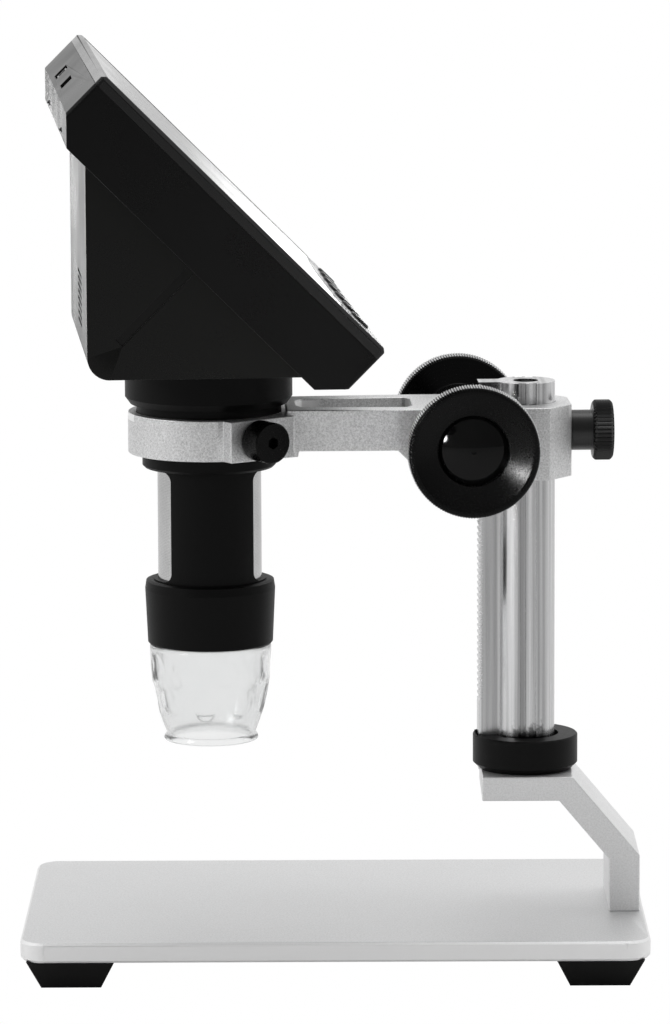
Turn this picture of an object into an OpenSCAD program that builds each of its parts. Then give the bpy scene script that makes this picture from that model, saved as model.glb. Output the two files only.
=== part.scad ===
// Screen microscope on a rack-and-pinion stand.
// Origin: at the level of the feet's undersides, in X at the middle of the base plate and in Y below
// the tube's axis. +Z up, the column stands towards +X, and the screen faces up and towards +X.
// Millimetres.

/* [Base] */
// Length of the base plate, along X
base_len = 200; // [190:1:240]
// Depth of the base plate, along Y
base_dep = 120; // [100:1:160]
// Thickness of the base plate
base_t = 6.4; // [5.5:0.1:9]
// Radius of the base plate's corners
base_corner = 8; // [4:0.5:14]
// Bevel round the plate's top and bottom edges
base_edge = 0.8; // [0.3:0.1:1.2]
// Width of a foot where it meets the plate
foot_top = 28; // [24:0.5:32]
// Width of a foot where it stands
foot_bottom = 19; // [16:0.5:22]
// Height of a foot
foot_h = 9.4; // [8:0.1:14]
// Distance from the plate's edge to a foot
foot_inset = 2; // [1:0.5:6]
// Diameter of a foot's screw
foot_screw_d = 4; // [3:0.5:5]

/* [Riser] */
// Width of the bent bar that carries the column
riser_w = 36; // [32:1:44]
// Height of its shelf above the plate
riser_h = 44.3; // [40:0.1:60]
// Thickness of its shelf
riser_shelf_t = 7.8; // [6:0.1:10]
// Thickness of its upright foot
riser_leg_t = 10; // [9:0.5:13]
// Thickness of its sloping stretch
riser_slope_t = 8.4; // [7:0.1:10]
// Angle of the sloping stretch above level
riser_slope = 50; // [45:1:55]
// Height of the outer knee
riser_knee_h = 18.5; // [16:0.5:22]
// Distance from the plate's end to the upright foot
riser_inset = 1.6; // [1:0.1:3]
// How far the shelf reaches past the column's axis
riser_lip = 14.4; // [12:0.1:17]
// Diameter of the two screws from under the plate
riser_screw_d = 5; // [4:0.5:6]
// Distance between those two screws
riser_screw_gap = 20; // [16:1:24]

/* [Column] */
// Distance from the plate's end to the column's axis
column_back = 38.1; // [37:0.1:41]
// Height of the column above the shelf
column_h = 126.7; // [122:0.1:180]
// Diameter of the column's round body
column_d = 19; // [17.5:0.1:21]
// Bore along the column
column_bore = 8; // [6:0.5:9]
// Width of the toothed rib
rib_w = 8; // [6:0.5:10]
// Distance from the column's axis to the tooth tips
rack_reach = 15.4; // [14.8:0.1:15.8]
// Distance from tooth to tooth
rack_pitch = 2; // [1.8:0.1:2.2]
// Height of the lowest tooth above the shelf
rack_low = 21.6; // [15:0.1:30]
// Width of the channel along each side of the column
channel_w = 5.8; // [4:0.1:7]
// Depth of that channel
channel_deep = 1.3; // [0.8:0.1:1.8]
// Diameter of the black collar round the column's foot
collar_d = 34; // [33.5:0.5:40]
// Height of that collar
collar_h = 11.3; // [8:0.1:16]

/* [Carriage] */
// Turn of the column and arm on the base, seen from above
arm_yaw = 2.5; // [-10:0.5:10]
// Height of the carriage block's underside above the shelf
lift = 96.7; // [85:0.1:100]
// Width of the carriage block
block_w = 36; // [34:0.5:42]
// Distance from the column's axis to the block's rear end
block_back = 14.2; // [13.6:0.1:18]
// Width of the block's rear end, between its tapers
block_end_w = 16.6; // [14:0.1:20]
// Distance from the column's axis to the block's front end
block_front = 32; // [29:0.5:38]
// Distance from the column's axis to the tube's axis
arm_reach = 102; // [96:0.5:125]
// Height of the arm and ring
arm_h = 13.2; // [11:0.1:14]
// Height of the arm's underside above the block's
arm_up = 10.1; // [9:0.1:11]
// How much lower than the arm the clamp ring is
ring_drop = 1.9; // [0.5:0.1:2.2]
// Width of the arm where it joins the ring
arm_tip_w = 30; // [28:0.5:34]
// Depth of the pocket in the arm's upper face
pocket_deep = 4; // [1:0.1:5]
// Border round that pocket
pocket_edge = 7; // [3:0.1:8]
// Outer diameter of the clamp ring
ring_d = 52; // [50.5:0.1:56]

/* [Focus drive] */
// Height of the knob axle above the block's underside
axle_up = 12.7; // [11:0.1:13]
// Diameter of the knob axle
axle_d = 6; // [5:0.1:6.2]
// Teeth on the pinion
pinion_teeth = 14; // [13:1:15]
// Wall of a bearing bush
bush_wall = 2.5; // [2.4:0.1:3]
// Diameter of a focus knob
knob_d = 42; // [36:0.5:46]
// Distance between the two knobs' outer faces
knob_span = 86; // [80:1:96]
// Thickness of a knob's rim
knob_rim = 8; // [6:0.5:10]
// Diameter of a knob's hub
knob_hub_d = 24; // [20:0.5:28]
// Diameter of the dish in a knob's face
knob_dish_d = 22.4; // [18:0.2:26]

/* [Lock and clamp screws] */
// Height of the lock screw above the block's underside
lock_up = 13.7; // [12:0.1:14]
// Diameter of the lock screw's stud
lock_stud_d = 6; // [5:0.5:7]
// Diameter of the lock knob's neck
lock_neck_d = 13; // [11:0.5:14]
// Length of that neck
lock_neck_l = 7; // [5:0.1:9]
// Diameter of the lock knob's grip
lock_grip_d = 19.5; // [17:0.5:24]
// Length of that grip
lock_grip_l = 6.5; // [5:0.1:9]
// Direction of the clamp screw round the ring, in the arm's own frame
clamp_angle = -57.5; // [-62:0.5:-54]
// Diameter of the clamp screw's head
clamp_head_d = 13.1; // [11:0.1:14]
// Length of that head
clamp_head_l = 8.1; // [7:0.1:12]
// Diameter of the clamp screw's shank
clamp_shank_d = 4; // [3:0.5:5]

/* [Tube] */
// Turn of the head in its ring, from the arm
head_yaw = 2.5; // [-8:0.5:8]
// Diameter of the part of the tube held in the ring
grip_d = 46.5; // [45:0.1:47]
// Diameter of the neck under the housing
neck_d = 53.8; // [53:0.1:56]
// Height of the neck
neck_h = 15.4; // [12:0.1:18]
// Gap between the ring and the neck
neck_gap = 2.7; // [1.5:0.1:4]
// Diameter of the bright barrel
barrel_d = 33.4; // [31:0.1:34]
// Wall of the bright barrel
barrel_wall = 1.5; // [1:0.1:2]
// Height of the focus sleeve
sleeve_h = 62; // [58:0.5:70]
// Diameter of the focus sleeve's top flange
flange_d = 43; // [41:0.5:46]
// Height of that flange
flange_h = 4.6; // [3.5:0.1:6]
// Diameter across the sleeve's two webs
web_d = 36.4; // [35.6:0.1:37.5]
// Width of the sleeve's two windows
window_w = 25; // [20:0.5:28]
// Diameter of the sleeve's lower ring, at its top
skirt_d = 42; // [41.5:0.1:44]
// The same at its bottom
skirt_low_d = 40.4; // [40:0.1:41.4]
// Height of that lower ring
skirt_h = 20.8; // [17:0.1:24]
// Height of the clear hood below the sleeve
hood_h = 31.7; // [28:0.1:34]
// Wall of the clear hood
hood_wall = 1.4; // [1:0.1:1.8]
// Depth of the hood's collar inside the sleeve
hood_plug = 5; // [4:0.1:5.6]

/* [Head] */
// Width of the screen unit
screen_w = 178; // [176:1:200]
// Thickness of the screen unit
screen_t = 24; // [23:0.1:30]
// Width of the bevels along its back edges
screen_bevel = 7.6; // [5:0.1:8]
// Thickness of the front bezel
bezel_t = 3.9; // [3.5:0.1:5]
// Radius of the screen unit's corners
screen_corner = 1.5; // [1:0.5:5]
// Slope of the screen, from level
screen_tilt = 45; // [43:1:47]
// How far the screen's middle is in front of the tube's axis
screen_forward = 6.2; // [6:0.1:9]
// Wall of the mouldings
wall = 2.2; // [1.8:0.1:2.4]
// Width of the rear housing
housing_w = 120; // [112:1:130]
// Distance from the tube's axis to the rear housing's back
housing_back = 41.4; // [40:0.1:45]
// Radius of the rear housing's lower back edge
housing_round = 7; // [5:0.5:9]

/* [Screen and buttons] */
// Size of the display module, across
lcd_w = 165; // [150:1:166]
// Size of the display module, up and down
lcd_len = 96; // [88:0.5:97]
// Thickness of the display module
lcd_t = 4.6; // [3:0.1:5]
// Size of the visible picture, across
view_w = 154; // [140:1:156]
// Size of the visible picture, up and down
view_len = 86; // [78:0.5:88]
// Thickness of the front window
glass_t = 1.5; // [1:0.1:2]
// Room below the display, for the buttons and the unit's lower edge
key_room = 21.6; // [21:0.1:26]
// Height of the button strip below the window, at its middle
strip_h = 19.5; // [19:0.1:21]
// How much lower the window reaches at its sides
strip_bow = 5.5; // [3:0.1:6]
// Diameter of a button
button_d = 7.2; // [5:0.1:8]
// Distance from button to button
button_gap = 20; // [14:0.5:23]
// Travel of a button
button_travel = 0.5; // [0.3:0.1:0.8]

/* [Hidden] */
$fn = 72;
// Clearance of a running fit, of a fixed seat and between pieces that move
fit = 0.08;
seat = 0.02;
gap = 0.3;
over = 1;
// Small bevel on turned edges, and the steps of a large round
edge = 0.4;
fine = 96;

// Levels, from the feet's undersides up
plate_top = foot_h + base_t;
shelf_top = plate_top + riser_h;
column_top = shelf_top + column_h;
carriage_z = shelf_top + lift;
arm_z = carriage_z + arm_up;
arm_top = arm_z + arm_h;
block_h = arm_up + arm_h;
ring_z = arm_z - ring_drop;
ring_top = arm_top - ring_drop;
axle_z = carriage_z + axle_up;
lock_z = carriage_z + lock_up;
tube_z = ring_z + fit;
neck_z = ring_top + neck_gap;
head_z = neck_z + neck_h;
sleeve_top = tube_z - gap - fit;
sleeve_z = sleeve_top - sleeve_h;
skirt_top = sleeve_z + skirt_h;
flange_z = sleeve_top - flange_h;

// Base and riser
foot_x = base_len / 2 - foot_inset - foot_top / 2;
foot_y = base_dep / 2 - foot_inset - foot_top / 2;
foot_recess = foot_h / 3;
column_x = base_len / 2 - column_back;
stand_y = arm_reach * sin(arm_yaw);
riser_x = base_len / 2 - riser_inset;
screw_sink = 3;
foot_screw_end = 3;
riser_screw_end = 5;
bolt_head_r = column_bore / 2 + 2.6;

// Column, rack and pinion
column_r = column_d / 2;
rack_tip = rack_pitch * 0.3;
rack_deep = rack_pitch * 0.66;
rack_line = rack_reach - rack_tip;
tooth_play = 0.1;
pressure = 20;
pinion_r = pinion_teeth * rack_pitch / (2 * PI);
pinion_tip_r = pinion_r + rack_pitch * 0.26;
pinion_root_r = pinion_r - rack_pitch * 0.4;
mesh_gap = 0.08;
axle_x = -(rack_line + pinion_r + mesh_gap);
axle_r = axle_d / 2;
axle_bore_r = max(axle_r + bush_wall, pinion_tip_r + gap);
pinion_w = rib_w + 1;
collar_hole_r = column_r + 1.3;
collar_bevel = 2;
channel_groove_w = 0.9;
channel_groove_deep = 0.6;
channel_rib_w = 1;
rib_slot = 0.5;

// Carriage
gusset = arm_up;
block_taper = 7.6;
arm_root_x = -block_front - gusset;
pocket_cut = 4;
pocket_slant = 2;
ring_r = ring_d / 2;
grip_r = grip_d / 2;
ring_bore_r = grip_r + fit;
boss_r = ring_r + 2.2;
boss_half = 10.4;
boss_sink = 0.2;
arm_flare = (block_w - arm_tip_w) / 2 / (arm_reach + arm_root_x);
arm_start = ring_r - 1.5;
boss_end = (boss_r + (arm_tip_w / 2 - boss_sink) * sin(clamp_angle))
    / (cos(clamp_angle) - arm_flare * sin(clamp_angle));

// Focus knobs
knob_r = knob_d / 2;
knob_face = knob_span / 2;
knob_hub_r = knob_hub_d / 2;
knob_dish_r = knob_dish_d / 2;
knob_dish = 4.6;
knob_well = 2.4;
knob_cap_r = knob_dish_r - 0.2;
knob_edge = 0.8;
knob_rim_w = 2.2;
knob_cone = 3;
cap_t = 0.8;
cap_dome = 3.2;
grub_r = 2;
grub_hex_r = 1.1;
grub_hex_deep = 1.6;
grub_y = block_w / 2 + 4.5;

// Lock and clamp screws
lock_r = lock_stud_d / 2;
lock_pad_x = column_r + gap;
pad_t = 1.7;
lock_neck_x = block_back + gap;
lock_grip_x = lock_neck_x + lock_neck_l;
clamp_r = clamp_shank_d / 2;
clamp_pad_x = grip_r + gap;
clamp_head_x = boss_r + gap;
clamp_hex_r = 2;
clamp_hex_deep = 3;
clamp_z = ring_z + arm_h / 2;

// Tube
neck_r = neck_d / 2;
neck_bevel = [1.6, 2.2];
tube_bore_r = grip_r - 2.8;
tube_floor = 4;
neck_screw_r = 1.1;
neck_screw_l = 6;
barrel_r = barrel_d / 2;
barrel_in_r = barrel_r - barrel_wall;
barrel_rim_t = 2;
sleeve_bore_r = barrel_r + fit;
skirt_r = skirt_d / 2;
skirt_low_r = skirt_low_d / 2;
skirt_slope = 3;
window_corner = 3;
plug_r = skirt_low_r - 1.5;
plug_top = sleeve_z + hood_plug;
barrel_z = plug_top + 1;
hood_r = skirt_low_r - 0.6;
hood_z = sleeve_z - hood_h;
hood_mouth_r = hood_r - 5.3;
hood_lip_r = hood_mouth_r + 0.9;
hood_lip_h = 2.2;
hood_steps = 12;
hood_curve = 2.4;
led_count = 8;
led_ring_r = 10.6;
led_hole_r = 6.4;
led_d = 3;
led_board_t = 1.2;
led_inset = 0.4;
led_h = 1.5;
sensor_board_t = 1.2;
sensor = [8, 8, 1.4];
sensor_plug = [6, 10, 2];
lens_r = 5;
lens_seat = 4;
lens_curve = 14;
lens_edge = 0.5;
cell_rim = 5;
cell_l = 14;
cell_z = barrel_z + 12;

// Screen unit, in its own tilted frame: x down the slope, y across, z out of the screen
window_edge = 2.4;
lcd_margin = 1;
screen_len = window_edge + lcd_margin + lcd_len + key_room;
half_len = screen_len / 2;
half_w = screen_w / 2;
end_depth = screen_t - screen_bevel;
screen_z = head_z + half_len * sin(screen_tilt) + end_depth * cos(screen_tilt);
window_x = half_len - strip_h;
window_side = half_w - window_edge;
strip_r = (window_side * window_side + strip_bow * strip_bow) / (2 * strip_bow);
glass_top = -0.1;
glass_seat = glass_t - glass_top;
view_edge = 1;
bezel_edge = 1.2;
lcd_x = -half_len + window_edge + lcd_margin + lcd_len / 2;
lcd_bottom = -bezel_t - lcd_t;

// Buttons: a cap through the bezel, a flange under it, a switch under that
button_r = button_d / 2;
button_line = window_x + strip_h * 0.436;
button_stand = 0.8;
flange_t = 1;
flange_lip = 0.8;
flange_top = -bezel_t - gap;
switch_top = flange_top - flange_t - button_travel - gap;
switch_w = 6;
switch_t = 1;
key_board_t = 1.2;
key_inset = 3.6;
key_end = 8;
key_board_z = switch_top - switch_t - key_board_t;
key_board_x = window_x + key_inset;
key_board_w = half_len - wall - fit - key_board_x;
key_board_l = 6 * button_gap + 2 * key_end;
post_r = 1.8;
standoff_r = 2.4;
pin_r = 0.9;
post_skin = 1.5;

// Boards and screws in the shell
board_z = -15.6;
board_t = 1.6;
board_len = 68;
board_w = 110;
board_x = -half_len + wall + 0.5;
board_inset = 5;
// Each chip's place from the board's corner, its size and its height
chips = [[30, 44, 14, 14, 1.5], [30, 66, 10, 12, 1.2], [50, 60, 8, 8, 2.6], [12, 92, 16, 6, 3.2]];
port = [9.2, 7.7, 3.9];
port_skin = 0.5;
port_y = 29;
port_hole = [13, 5.2];
card = [15, 14, 1.9];
card_y = -11;
card_hole = [12, 4.6];
hole_n = board_z + board_t + port.z / 2;
case_screw_r = 1;
case_boss_r = 2.1;
case_boss_in = 11;
case_boss_x = half_len - case_boss_in;
case_boss_y = half_w - wall - case_boss_r + gap;
case_sink = 1.3;
case_screw_in = 1.8;
ribbon_w = 24;
ribbon_t = 0.3;
ribbon_foot = 7;
housing_post_r = 3;
housing_post_l = 9;
post_sink = 0.5;

// Rear housing
post_in = 14.9;
post_low = half_len - screen_bevel / tan(screen_tilt) - post_in;
post_high = (screen_t * sin(screen_tilt) - housing_back - screen_forward) / cos(screen_tilt)
    + post_in;
post_blind = 1;
cable_hole_r = 12;
cable_x = post_low - cable_hole_r - wall;
grille_z = head_z + 20;
grille_y = -11;
grille_w = 26;
slot_h = 1.1;
slot_gap = 2.2;
slot_count = 8;
groove_x = 3.6;
groove_w = 3;
groove_l = 31;
groove_deep = 1;
speaker_r = 12;
speaker_t = 5;
battery = [10, 50, 40];
battery_y = 2;

// ---- Frames ----

// The stand's own middle line, beside the origin because the arm is turned
module on_stand() {
    translate([0, stand_y, 0])
        children();
}

// On the column's axis, turned with the arm, which points along -x
module on_column() {
    translate([column_x, stand_y, 0])
        rotate([0, 0, arm_yaw])
            children();
}

// On the tube's axis, turned with the head
module on_tube() {
    on_column()
        translate([-arm_reach, 0, 0])
            rotate([0, 0, head_yaw])
                children();
}

// In the screen's tilted frame
module on_screen() {
    on_tube()
        translate([screen_forward, 0, screen_z])
            rotate([0, screen_tilt, 0])
                children();
}

// Along the clamp screw, x pointing out of the ring
module on_clamp() {
    on_column()
        translate([-arm_reach, 0, clamp_z])
            rotate([0, 0, clamp_angle])
                children();
}

// ---- Shared shapes ----

module rounded_rect(l, w, r) {
    square([l - 2 * r, w], center = true);
    square([l, w - 2 * r], center = true);
    for (x = [-1, 1], y = [-1, 1])
        translate([x * (l / 2 - r), y * (w / 2 - r)])
            circle(r);
}

// A cylinder along +x
module rod_x(r, l) {
    rotate([0, 90, 0])
        cylinder(r = r, h = l);
}

// A screw standing on its head: the shank points up
module screw(r, l, head_r, head_h) {
    cylinder(r = r, h = l);
    translate([0, 0, -head_h])
        difference() {
            cylinder(r = head_r, h = head_h);
            translate([0, 0, -over])
                cylinder(r = r, h = over + head_h / 2, $fn = 6);
        }
}

module small_screw(r, l) {
    screw(r, l, 1.9 * r, 1.2 * r);
}

// An outline in x and z, drawn out along y
module across(w) {
    rotate([90, 0, 0])
        linear_extrude(w, center = true)
            children();
}

// ---- Stand ----

module base_plate() {
    color("gainsboro")
        on_stand() difference() {
            hull() {
                translate([0, 0, foot_h])
                    linear_extrude(base_t)
                        rounded_rect(base_len - 2 * base_edge, base_dep - 2 * base_edge,
                            base_corner - base_edge);
                translate([0, 0, foot_h + base_edge])
                    linear_extrude(base_t - 2 * base_edge)
                        rounded_rect(base_len, base_dep, base_corner);
            }
            at_feet()
                translate([0, 0, -over])
                    cylinder(d = foot_screw_d, h = base_t - 2 + over);
            at_riser_screws() {
                translate([0, 0, -over])
                    cylinder(d = riser_screw_d + 2 * fit, h = base_t + 2 * over);
                translate([0, 0, -over])
                    cylinder(r = riser_screw_d + fit, h = screw_sink + over);
            }
        }
}

module at_feet() {
    for (x = [-1, 1], y = [-1, 1])
        translate([x * foot_x, y * foot_y, foot_h])
            children();
}

module at_riser_screws() {
    for (y = [-1, 1])
        translate([riser_x - riser_leg_t / 2, y * riser_screw_gap / 2, foot_h])
            children();
}

module foot_outline() {
    polygon([[-foot_bottom / 2, -foot_h], [foot_bottom / 2, -foot_h],
        [foot_top / 2, 0], [-foot_top / 2, 0]]);
}

module rubber_feet() {
    color("#161616")
        on_stand() at_feet()
            difference() {
                intersection() {
                    across(foot_top) foot_outline();
                    rotate([0, 0, 90]) across(foot_top) foot_outline();
                }
                translate([0, 0, -foot_h - over])
                    cylinder(d = foot_screw_d, h = foot_h + 2 * over);
                translate([0, 0, -foot_h - over])
                    cylinder(r = foot_screw_d + fit, h = foot_recess + screw_sink + over);
            }
}

module foot_screws() {
    color("silver")
        on_stand() at_feet()
            translate([0, 0, -foot_h + foot_recess + screw_sink])
                screw(foot_screw_d / 2, foot_h - foot_recess - screw_sink + base_t - foot_screw_end,
                    foot_screw_d, foot_screw_d * 0.6);
}

// The bar goes up, slopes back over the plate and ends in a level shelf
module riser_bracket() {
    slope_x = riser_slope_t / sin(riser_slope);
    run = 1 / tan(riser_slope);
    top = riser_h;
    under = riser_h - riser_shelf_t;
    color("gainsboro")
        on_stand() difference() {
            translate([0, 0, plate_top])
                across(riser_w)
                    polygon([[riser_x, 0], [riser_x, riser_knee_h],
                        [riser_x - (top - riser_knee_h) * run, top],
                        [column_x - riser_lip, top], [column_x - riser_lip, under],
                        [riser_x - (under - riser_knee_h) * run - slope_x, under],
                        [riser_x - riser_leg_t, riser_knee_h - (slope_x - riser_leg_t) / run],
                        [riser_x - riser_leg_t, 0]]);
            at_riser_screws()
                cylinder(d = riser_screw_d, h = base_t + riser_knee_h - riser_screw_end + over);
            translate([column_x, 0, shelf_top - riser_shelf_t - over])
                cylinder(r = column_bore / 2 + fit, h = riser_shelf_t + 2 * over);
            translate([column_x, 0, shelf_top - riser_shelf_t - over])
                cylinder(r = bolt_head_r + edge, h = screw_sink + over);
        }
}

module riser_screws() {
    color("silver")
        on_stand() at_riser_screws()
            translate([0, 0, screw_sink])
                screw(riser_screw_d / 2, base_t + riser_knee_h - riser_screw_end - screw_sink,
                    riser_screw_d, screw_sink - gap);
}

module column_bolt() {
    color("silver")
        on_column() translate([0, 0, shelf_top - riser_shelf_t + screw_sink])
            screw(column_bore / 2, riser_shelf_t - screw_sink + 2 * column_bore,
                bolt_head_r, screw_sink + 1.6);
}

module column_collar() {
    r = collar_d / 2;
    color("#1a1a1c")
        on_column()
            translate([0, 0, shelf_top])
                difference() {
                    rotate_extrude()
                        polygon([[0, 0], [r - collar_bevel, 0], [r, collar_bevel],
                            [r, collar_h - edge], [r - edge, collar_h], [0, collar_h]]);
                    translate([0, 0, -over])
                        cylinder(r = collar_hole_r, h = collar_h + 2 * over);
                    translate([-rack_reach - rib_slot, -rib_w / 2 - rib_slot, -over])
                        cube([rack_reach, rib_w + 2 * rib_slot, collar_h + 2 * over]);
                }
}

// The drawn bar's section: a round body with a flat rib for the teeth and a ribbed channel on
// each side
module column_section() {
    chord = sqrt(column_r * column_r - channel_w * channel_w / 4);
    floor_y = chord - channel_deep;
    difference() {
        union() {
            circle(column_r);
            translate([-rack_reach, -rib_w / 2])
                square([rack_reach, rib_w]);
        }
        circle(d = column_bore);
        for (side = [0, 180])
            rotate([0, 0, side])
                difference() {
                    translate([-channel_w / 2, floor_y - channel_groove_deep])
                        square([channel_w, column_r]);
                    translate([-channel_w / 2 + channel_groove_w, 0])
                        square([channel_w - 2 * channel_groove_w, floor_y]);
                    translate([-channel_rib_w / 2, 0])
                        square([channel_rib_w, chord]);
                }
    }
}

// The gap between two teeth, in reach from the axis and height
module rack_gap() {
    half = (rack_pitch / 2 + tooth_play) / 2;
    tip_half = half + (rack_tip + over) * tan(pressure);
    root_half = half - (rack_deep - rack_tip) * tan(pressure);
    polygon([[-rack_reach - over, -tip_half], [-rack_reach + rack_deep, -root_half],
        [-rack_reach + rack_deep, root_half], [-rack_reach - over, tip_half]]);
}

module column() {
    below = floor((axle_z - shelf_top - rack_low) / rack_pitch);
    above = floor((column_top - axle_z) / rack_pitch);
    color("#c8c8c8")
        on_column()
            difference() {
                translate([0, 0, shelf_top])
                    linear_extrude(column_h)
                        column_section();
                for (i = [-below:above])
                    translate([0, 0, axle_z + i * rack_pitch])
                        across(rib_w + over)
                            rack_gap();
            }
}

// ---- Carriage ----

function turned(p, a) = [p[0] * cos(a) - p[1] * sin(a), p[0] * sin(a) + p[1] * cos(a)];

// Half the arm's width at a distance from the tube's axis
function arm_half(d) = arm_tip_w / 2 + arm_flare * d;

module block_body() {
    intersection() {
        across(block_w)
            polygon([[arm_root_x, arm_z], [-block_front, carriage_z], [block_back, carriage_z],
                [block_back, arm_top], [arm_root_x, arm_top]]);
        translate([0, 0, carriage_z - over])
            linear_extrude(block_h + 2 * over)
                polygon([[arm_root_x, -block_w / 2], [block_back - block_taper, -block_w / 2],
                    [block_back, -block_end_w / 2], [block_back, block_end_w / 2],
                    [block_back - block_taper, block_w / 2], [arm_root_x, block_w / 2]]);
    }
}

module arm_body() {
    reach = arm_reach + arm_root_x;
    translate([-arm_reach, 0, arm_z])
        linear_extrude(arm_h)
            polygon([[arm_start, -arm_half(arm_start)], [reach, -arm_half(reach)],
                [reach, arm_half(reach)], [arm_start, arm_half(arm_start)]]);
}

module arm_pocket() {
    start = ring_r + 2;
    reach = arm_reach + arm_root_x + gusset / 2;
    w0 = arm_half(start) - pocket_edge;
    w1 = arm_half(reach) - pocket_edge;
    translate([-arm_reach, 0, arm_top - pocket_deep])
        linear_extrude(pocket_deep + over)
            polygon([[start, pocket_cut - w0], [start + pocket_slant, -w0],
                [reach - pocket_slant, -w1], [reach, pocket_cut - w1],
                [reach, w1 - pocket_cut], [reach - pocket_slant, w1],
                [start + pocket_slant, w0], [start, w0 - pocket_cut]]);
}

// The ring, its way into the arm, and the flat boss that the clamp screw goes through
module ring_body() {
    end = boss_end + over;
    translate([-arm_reach, 0, ring_z]) {
        cylinder(r = ring_r, h = arm_h, $fn = fine);
        linear_extrude(arm_h)
            polygon([[0, 0], turned([grip_r - over, -boss_half], clamp_angle),
                turned([boss_r, -boss_half], clamp_angle),
                [boss_end, boss_sink - arm_half(boss_end)], [end, boss_sink - arm_half(end)],
                [end, arm_half(end) - boss_sink], [0, arm_half(0) - boss_sink]]);
    }
}

module column_passage() {
    translate([0, 0, carriage_z - over])
        linear_extrude(block_h + 2 * over) {
            circle(column_r + fit);
            translate([-rack_reach - gap, -rib_w / 2 - fit])
                square([rack_reach, rib_w + 2 * fit]);
        }
}

module carriage_arm() {
    color("#d2d2d0")
        on_column()
            difference() {
                union() {
                    block_body();
                    arm_body();
                    ring_body();
                }
                arm_pocket();
                column_passage();
                translate([axle_x, 0, axle_z])
                    rotate([90, 0, 0])
                        cylinder(r = axle_bore_r, h = block_w + 2 * over, center = true);
                translate([0, 0, lock_z])
                    rod_x(lock_r + fit, block_back + over);
                translate([-arm_reach, 0, ring_z - over])
                    cylinder(r = ring_bore_r, h = arm_h + 2 * over, $fn = fine);
                translate([-arm_reach, 0, clamp_z])
                    rotate([0, 0, clamp_angle])
                        rod_x(clamp_r + fit, boss_r + over);
            }
}

module axle_bushes() {
    inner = pinion_w / 2 + gap;
    color("#b58a3c")
        on_column()
            for (side = [0, 180])
                translate([axle_x, 0, axle_z])
                    rotate([0, 0, side])
                        rotate([-90, 0, 0])
                            translate([0, 0, inner])
                                difference() {
                                    cylinder(r = axle_bore_r - seat, h = block_w / 2 - inner);
                                    translate([0, 0, -over])
                                        cylinder(r = axle_r + fit, h = block_w);
                                }
}

// ---- Focus drive ----

// Frame on the axle: z points out along it, on one side or the other
module on_axle(side) {
    on_column()
        translate([axle_x, 0, axle_z])
            rotate([side * 90, 0, 0])
                children();
}

function involute(a) = tan(a) * 180 / PI - a;
function tooth_half(r) = (rack_pitch / 4 - tooth_play / 2) / pinion_r * 180 / PI
    + involute(pressure) - involute(acos(min(1, pinion_r * cos(pressure) / r)));
function tooth_levels() = [pinion_root_r, pinion_r * cos(pressure), pinion_r, pinion_tip_r];
function tooth_points(a) = concat(
    [for (r = tooth_levels()) r * [cos(a - tooth_half(r)), sin(a - tooth_half(r))]],
    [for (i = [3:-1:0]) let (r = tooth_levels()[i])
        r * [cos(a + tooth_half(r)), sin(a + tooth_half(r))]]);

module pinion_axle() {
    half = knob_face - knob_well - knob_dish - 2 * edge;
    color("#9a9a9c")
        on_axle(1) {
            linear_extrude(pinion_w, center = true)
                polygon([for (i = [0:pinion_teeth - 1]) each tooth_points(i * 360 / pinion_teeth)]);
            cylinder(r = axle_r, h = 2 * half, center = true);
        }
}

module focus_knob(side) {
    rim = knob_face - knob_rim;
    z0 = block_w / 2 + gap;
    well = knob_face - knob_dish - knob_well;
    color("#141414")
        on_axle(side)
            difference() {
                rotate_extrude()
                    polygon([[axle_r, z0], [knob_hub_r, z0], [knob_hub_r, rim - knob_cone],
                        [knob_r - knob_edge, rim], [knob_r, rim + knob_edge],
                        [knob_r, knob_face - knob_edge], [knob_r - knob_edge, knob_face],
                        [knob_r - knob_rim_w, knob_face], [knob_dish_r, knob_face - knob_dish],
                        [knob_cap_r, well], [axle_r, well]]);
                translate([0, 0, grub_y])
                    rotate([-90 * side, 0, 0])
                        cylinder(r = grub_r, h = knob_r);
            }
}

module near_focus_knob() {
    focus_knob(1);
}

module far_focus_knob() {
    focus_knob(-1);
}

module knob_caps() {
    curve = (knob_cap_r * knob_cap_r + cap_dome * cap_dome) / (2 * cap_dome);
    color("#0a0a0a")
        for (side = [-1, 1])
            on_axle(side)
                translate([0, 0, knob_face - knob_dish - knob_well])
                    intersection() {
                        cylinder(r = knob_cap_r - seat, h = cap_t + cap_dome + over);
                        translate([0, 0, cap_t + cap_dome - curve])
                            sphere(curve, $fn = fine);
                    }
}

module knob_grub_screws() {
    l = knob_hub_r - axle_r - 1;
    color("#55565a")
        for (side = [-1, 1])
            on_axle(side)
                translate([0, 0, grub_y])
                    rotate([-90 * side, 0, 0])
                        translate([0, 0, axle_r])
                            difference() {
                                cylinder(r = grub_r - seat, h = l);
                                translate([0, 0, l - grub_hex_deep])
                                    cylinder(r = grub_hex_r, h = grub_hex_deep + over, $fn = 6);
                            }
}

// ---- Lock screw and clamp screw ----

module lock_pad() {
    color("#b58a3c")
        on_column()
            translate([lock_pad_x, 0, lock_z])
                rod_x(lock_r - seat, pad_t);
}

module lock_stud() {
    x0 = lock_pad_x + pad_t + seat;
    color("silver")
        on_column()
            translate([x0, 0, lock_z])
                rod_x(lock_r, lock_grip_x + lock_grip_l / 2 - x0);
}

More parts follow.
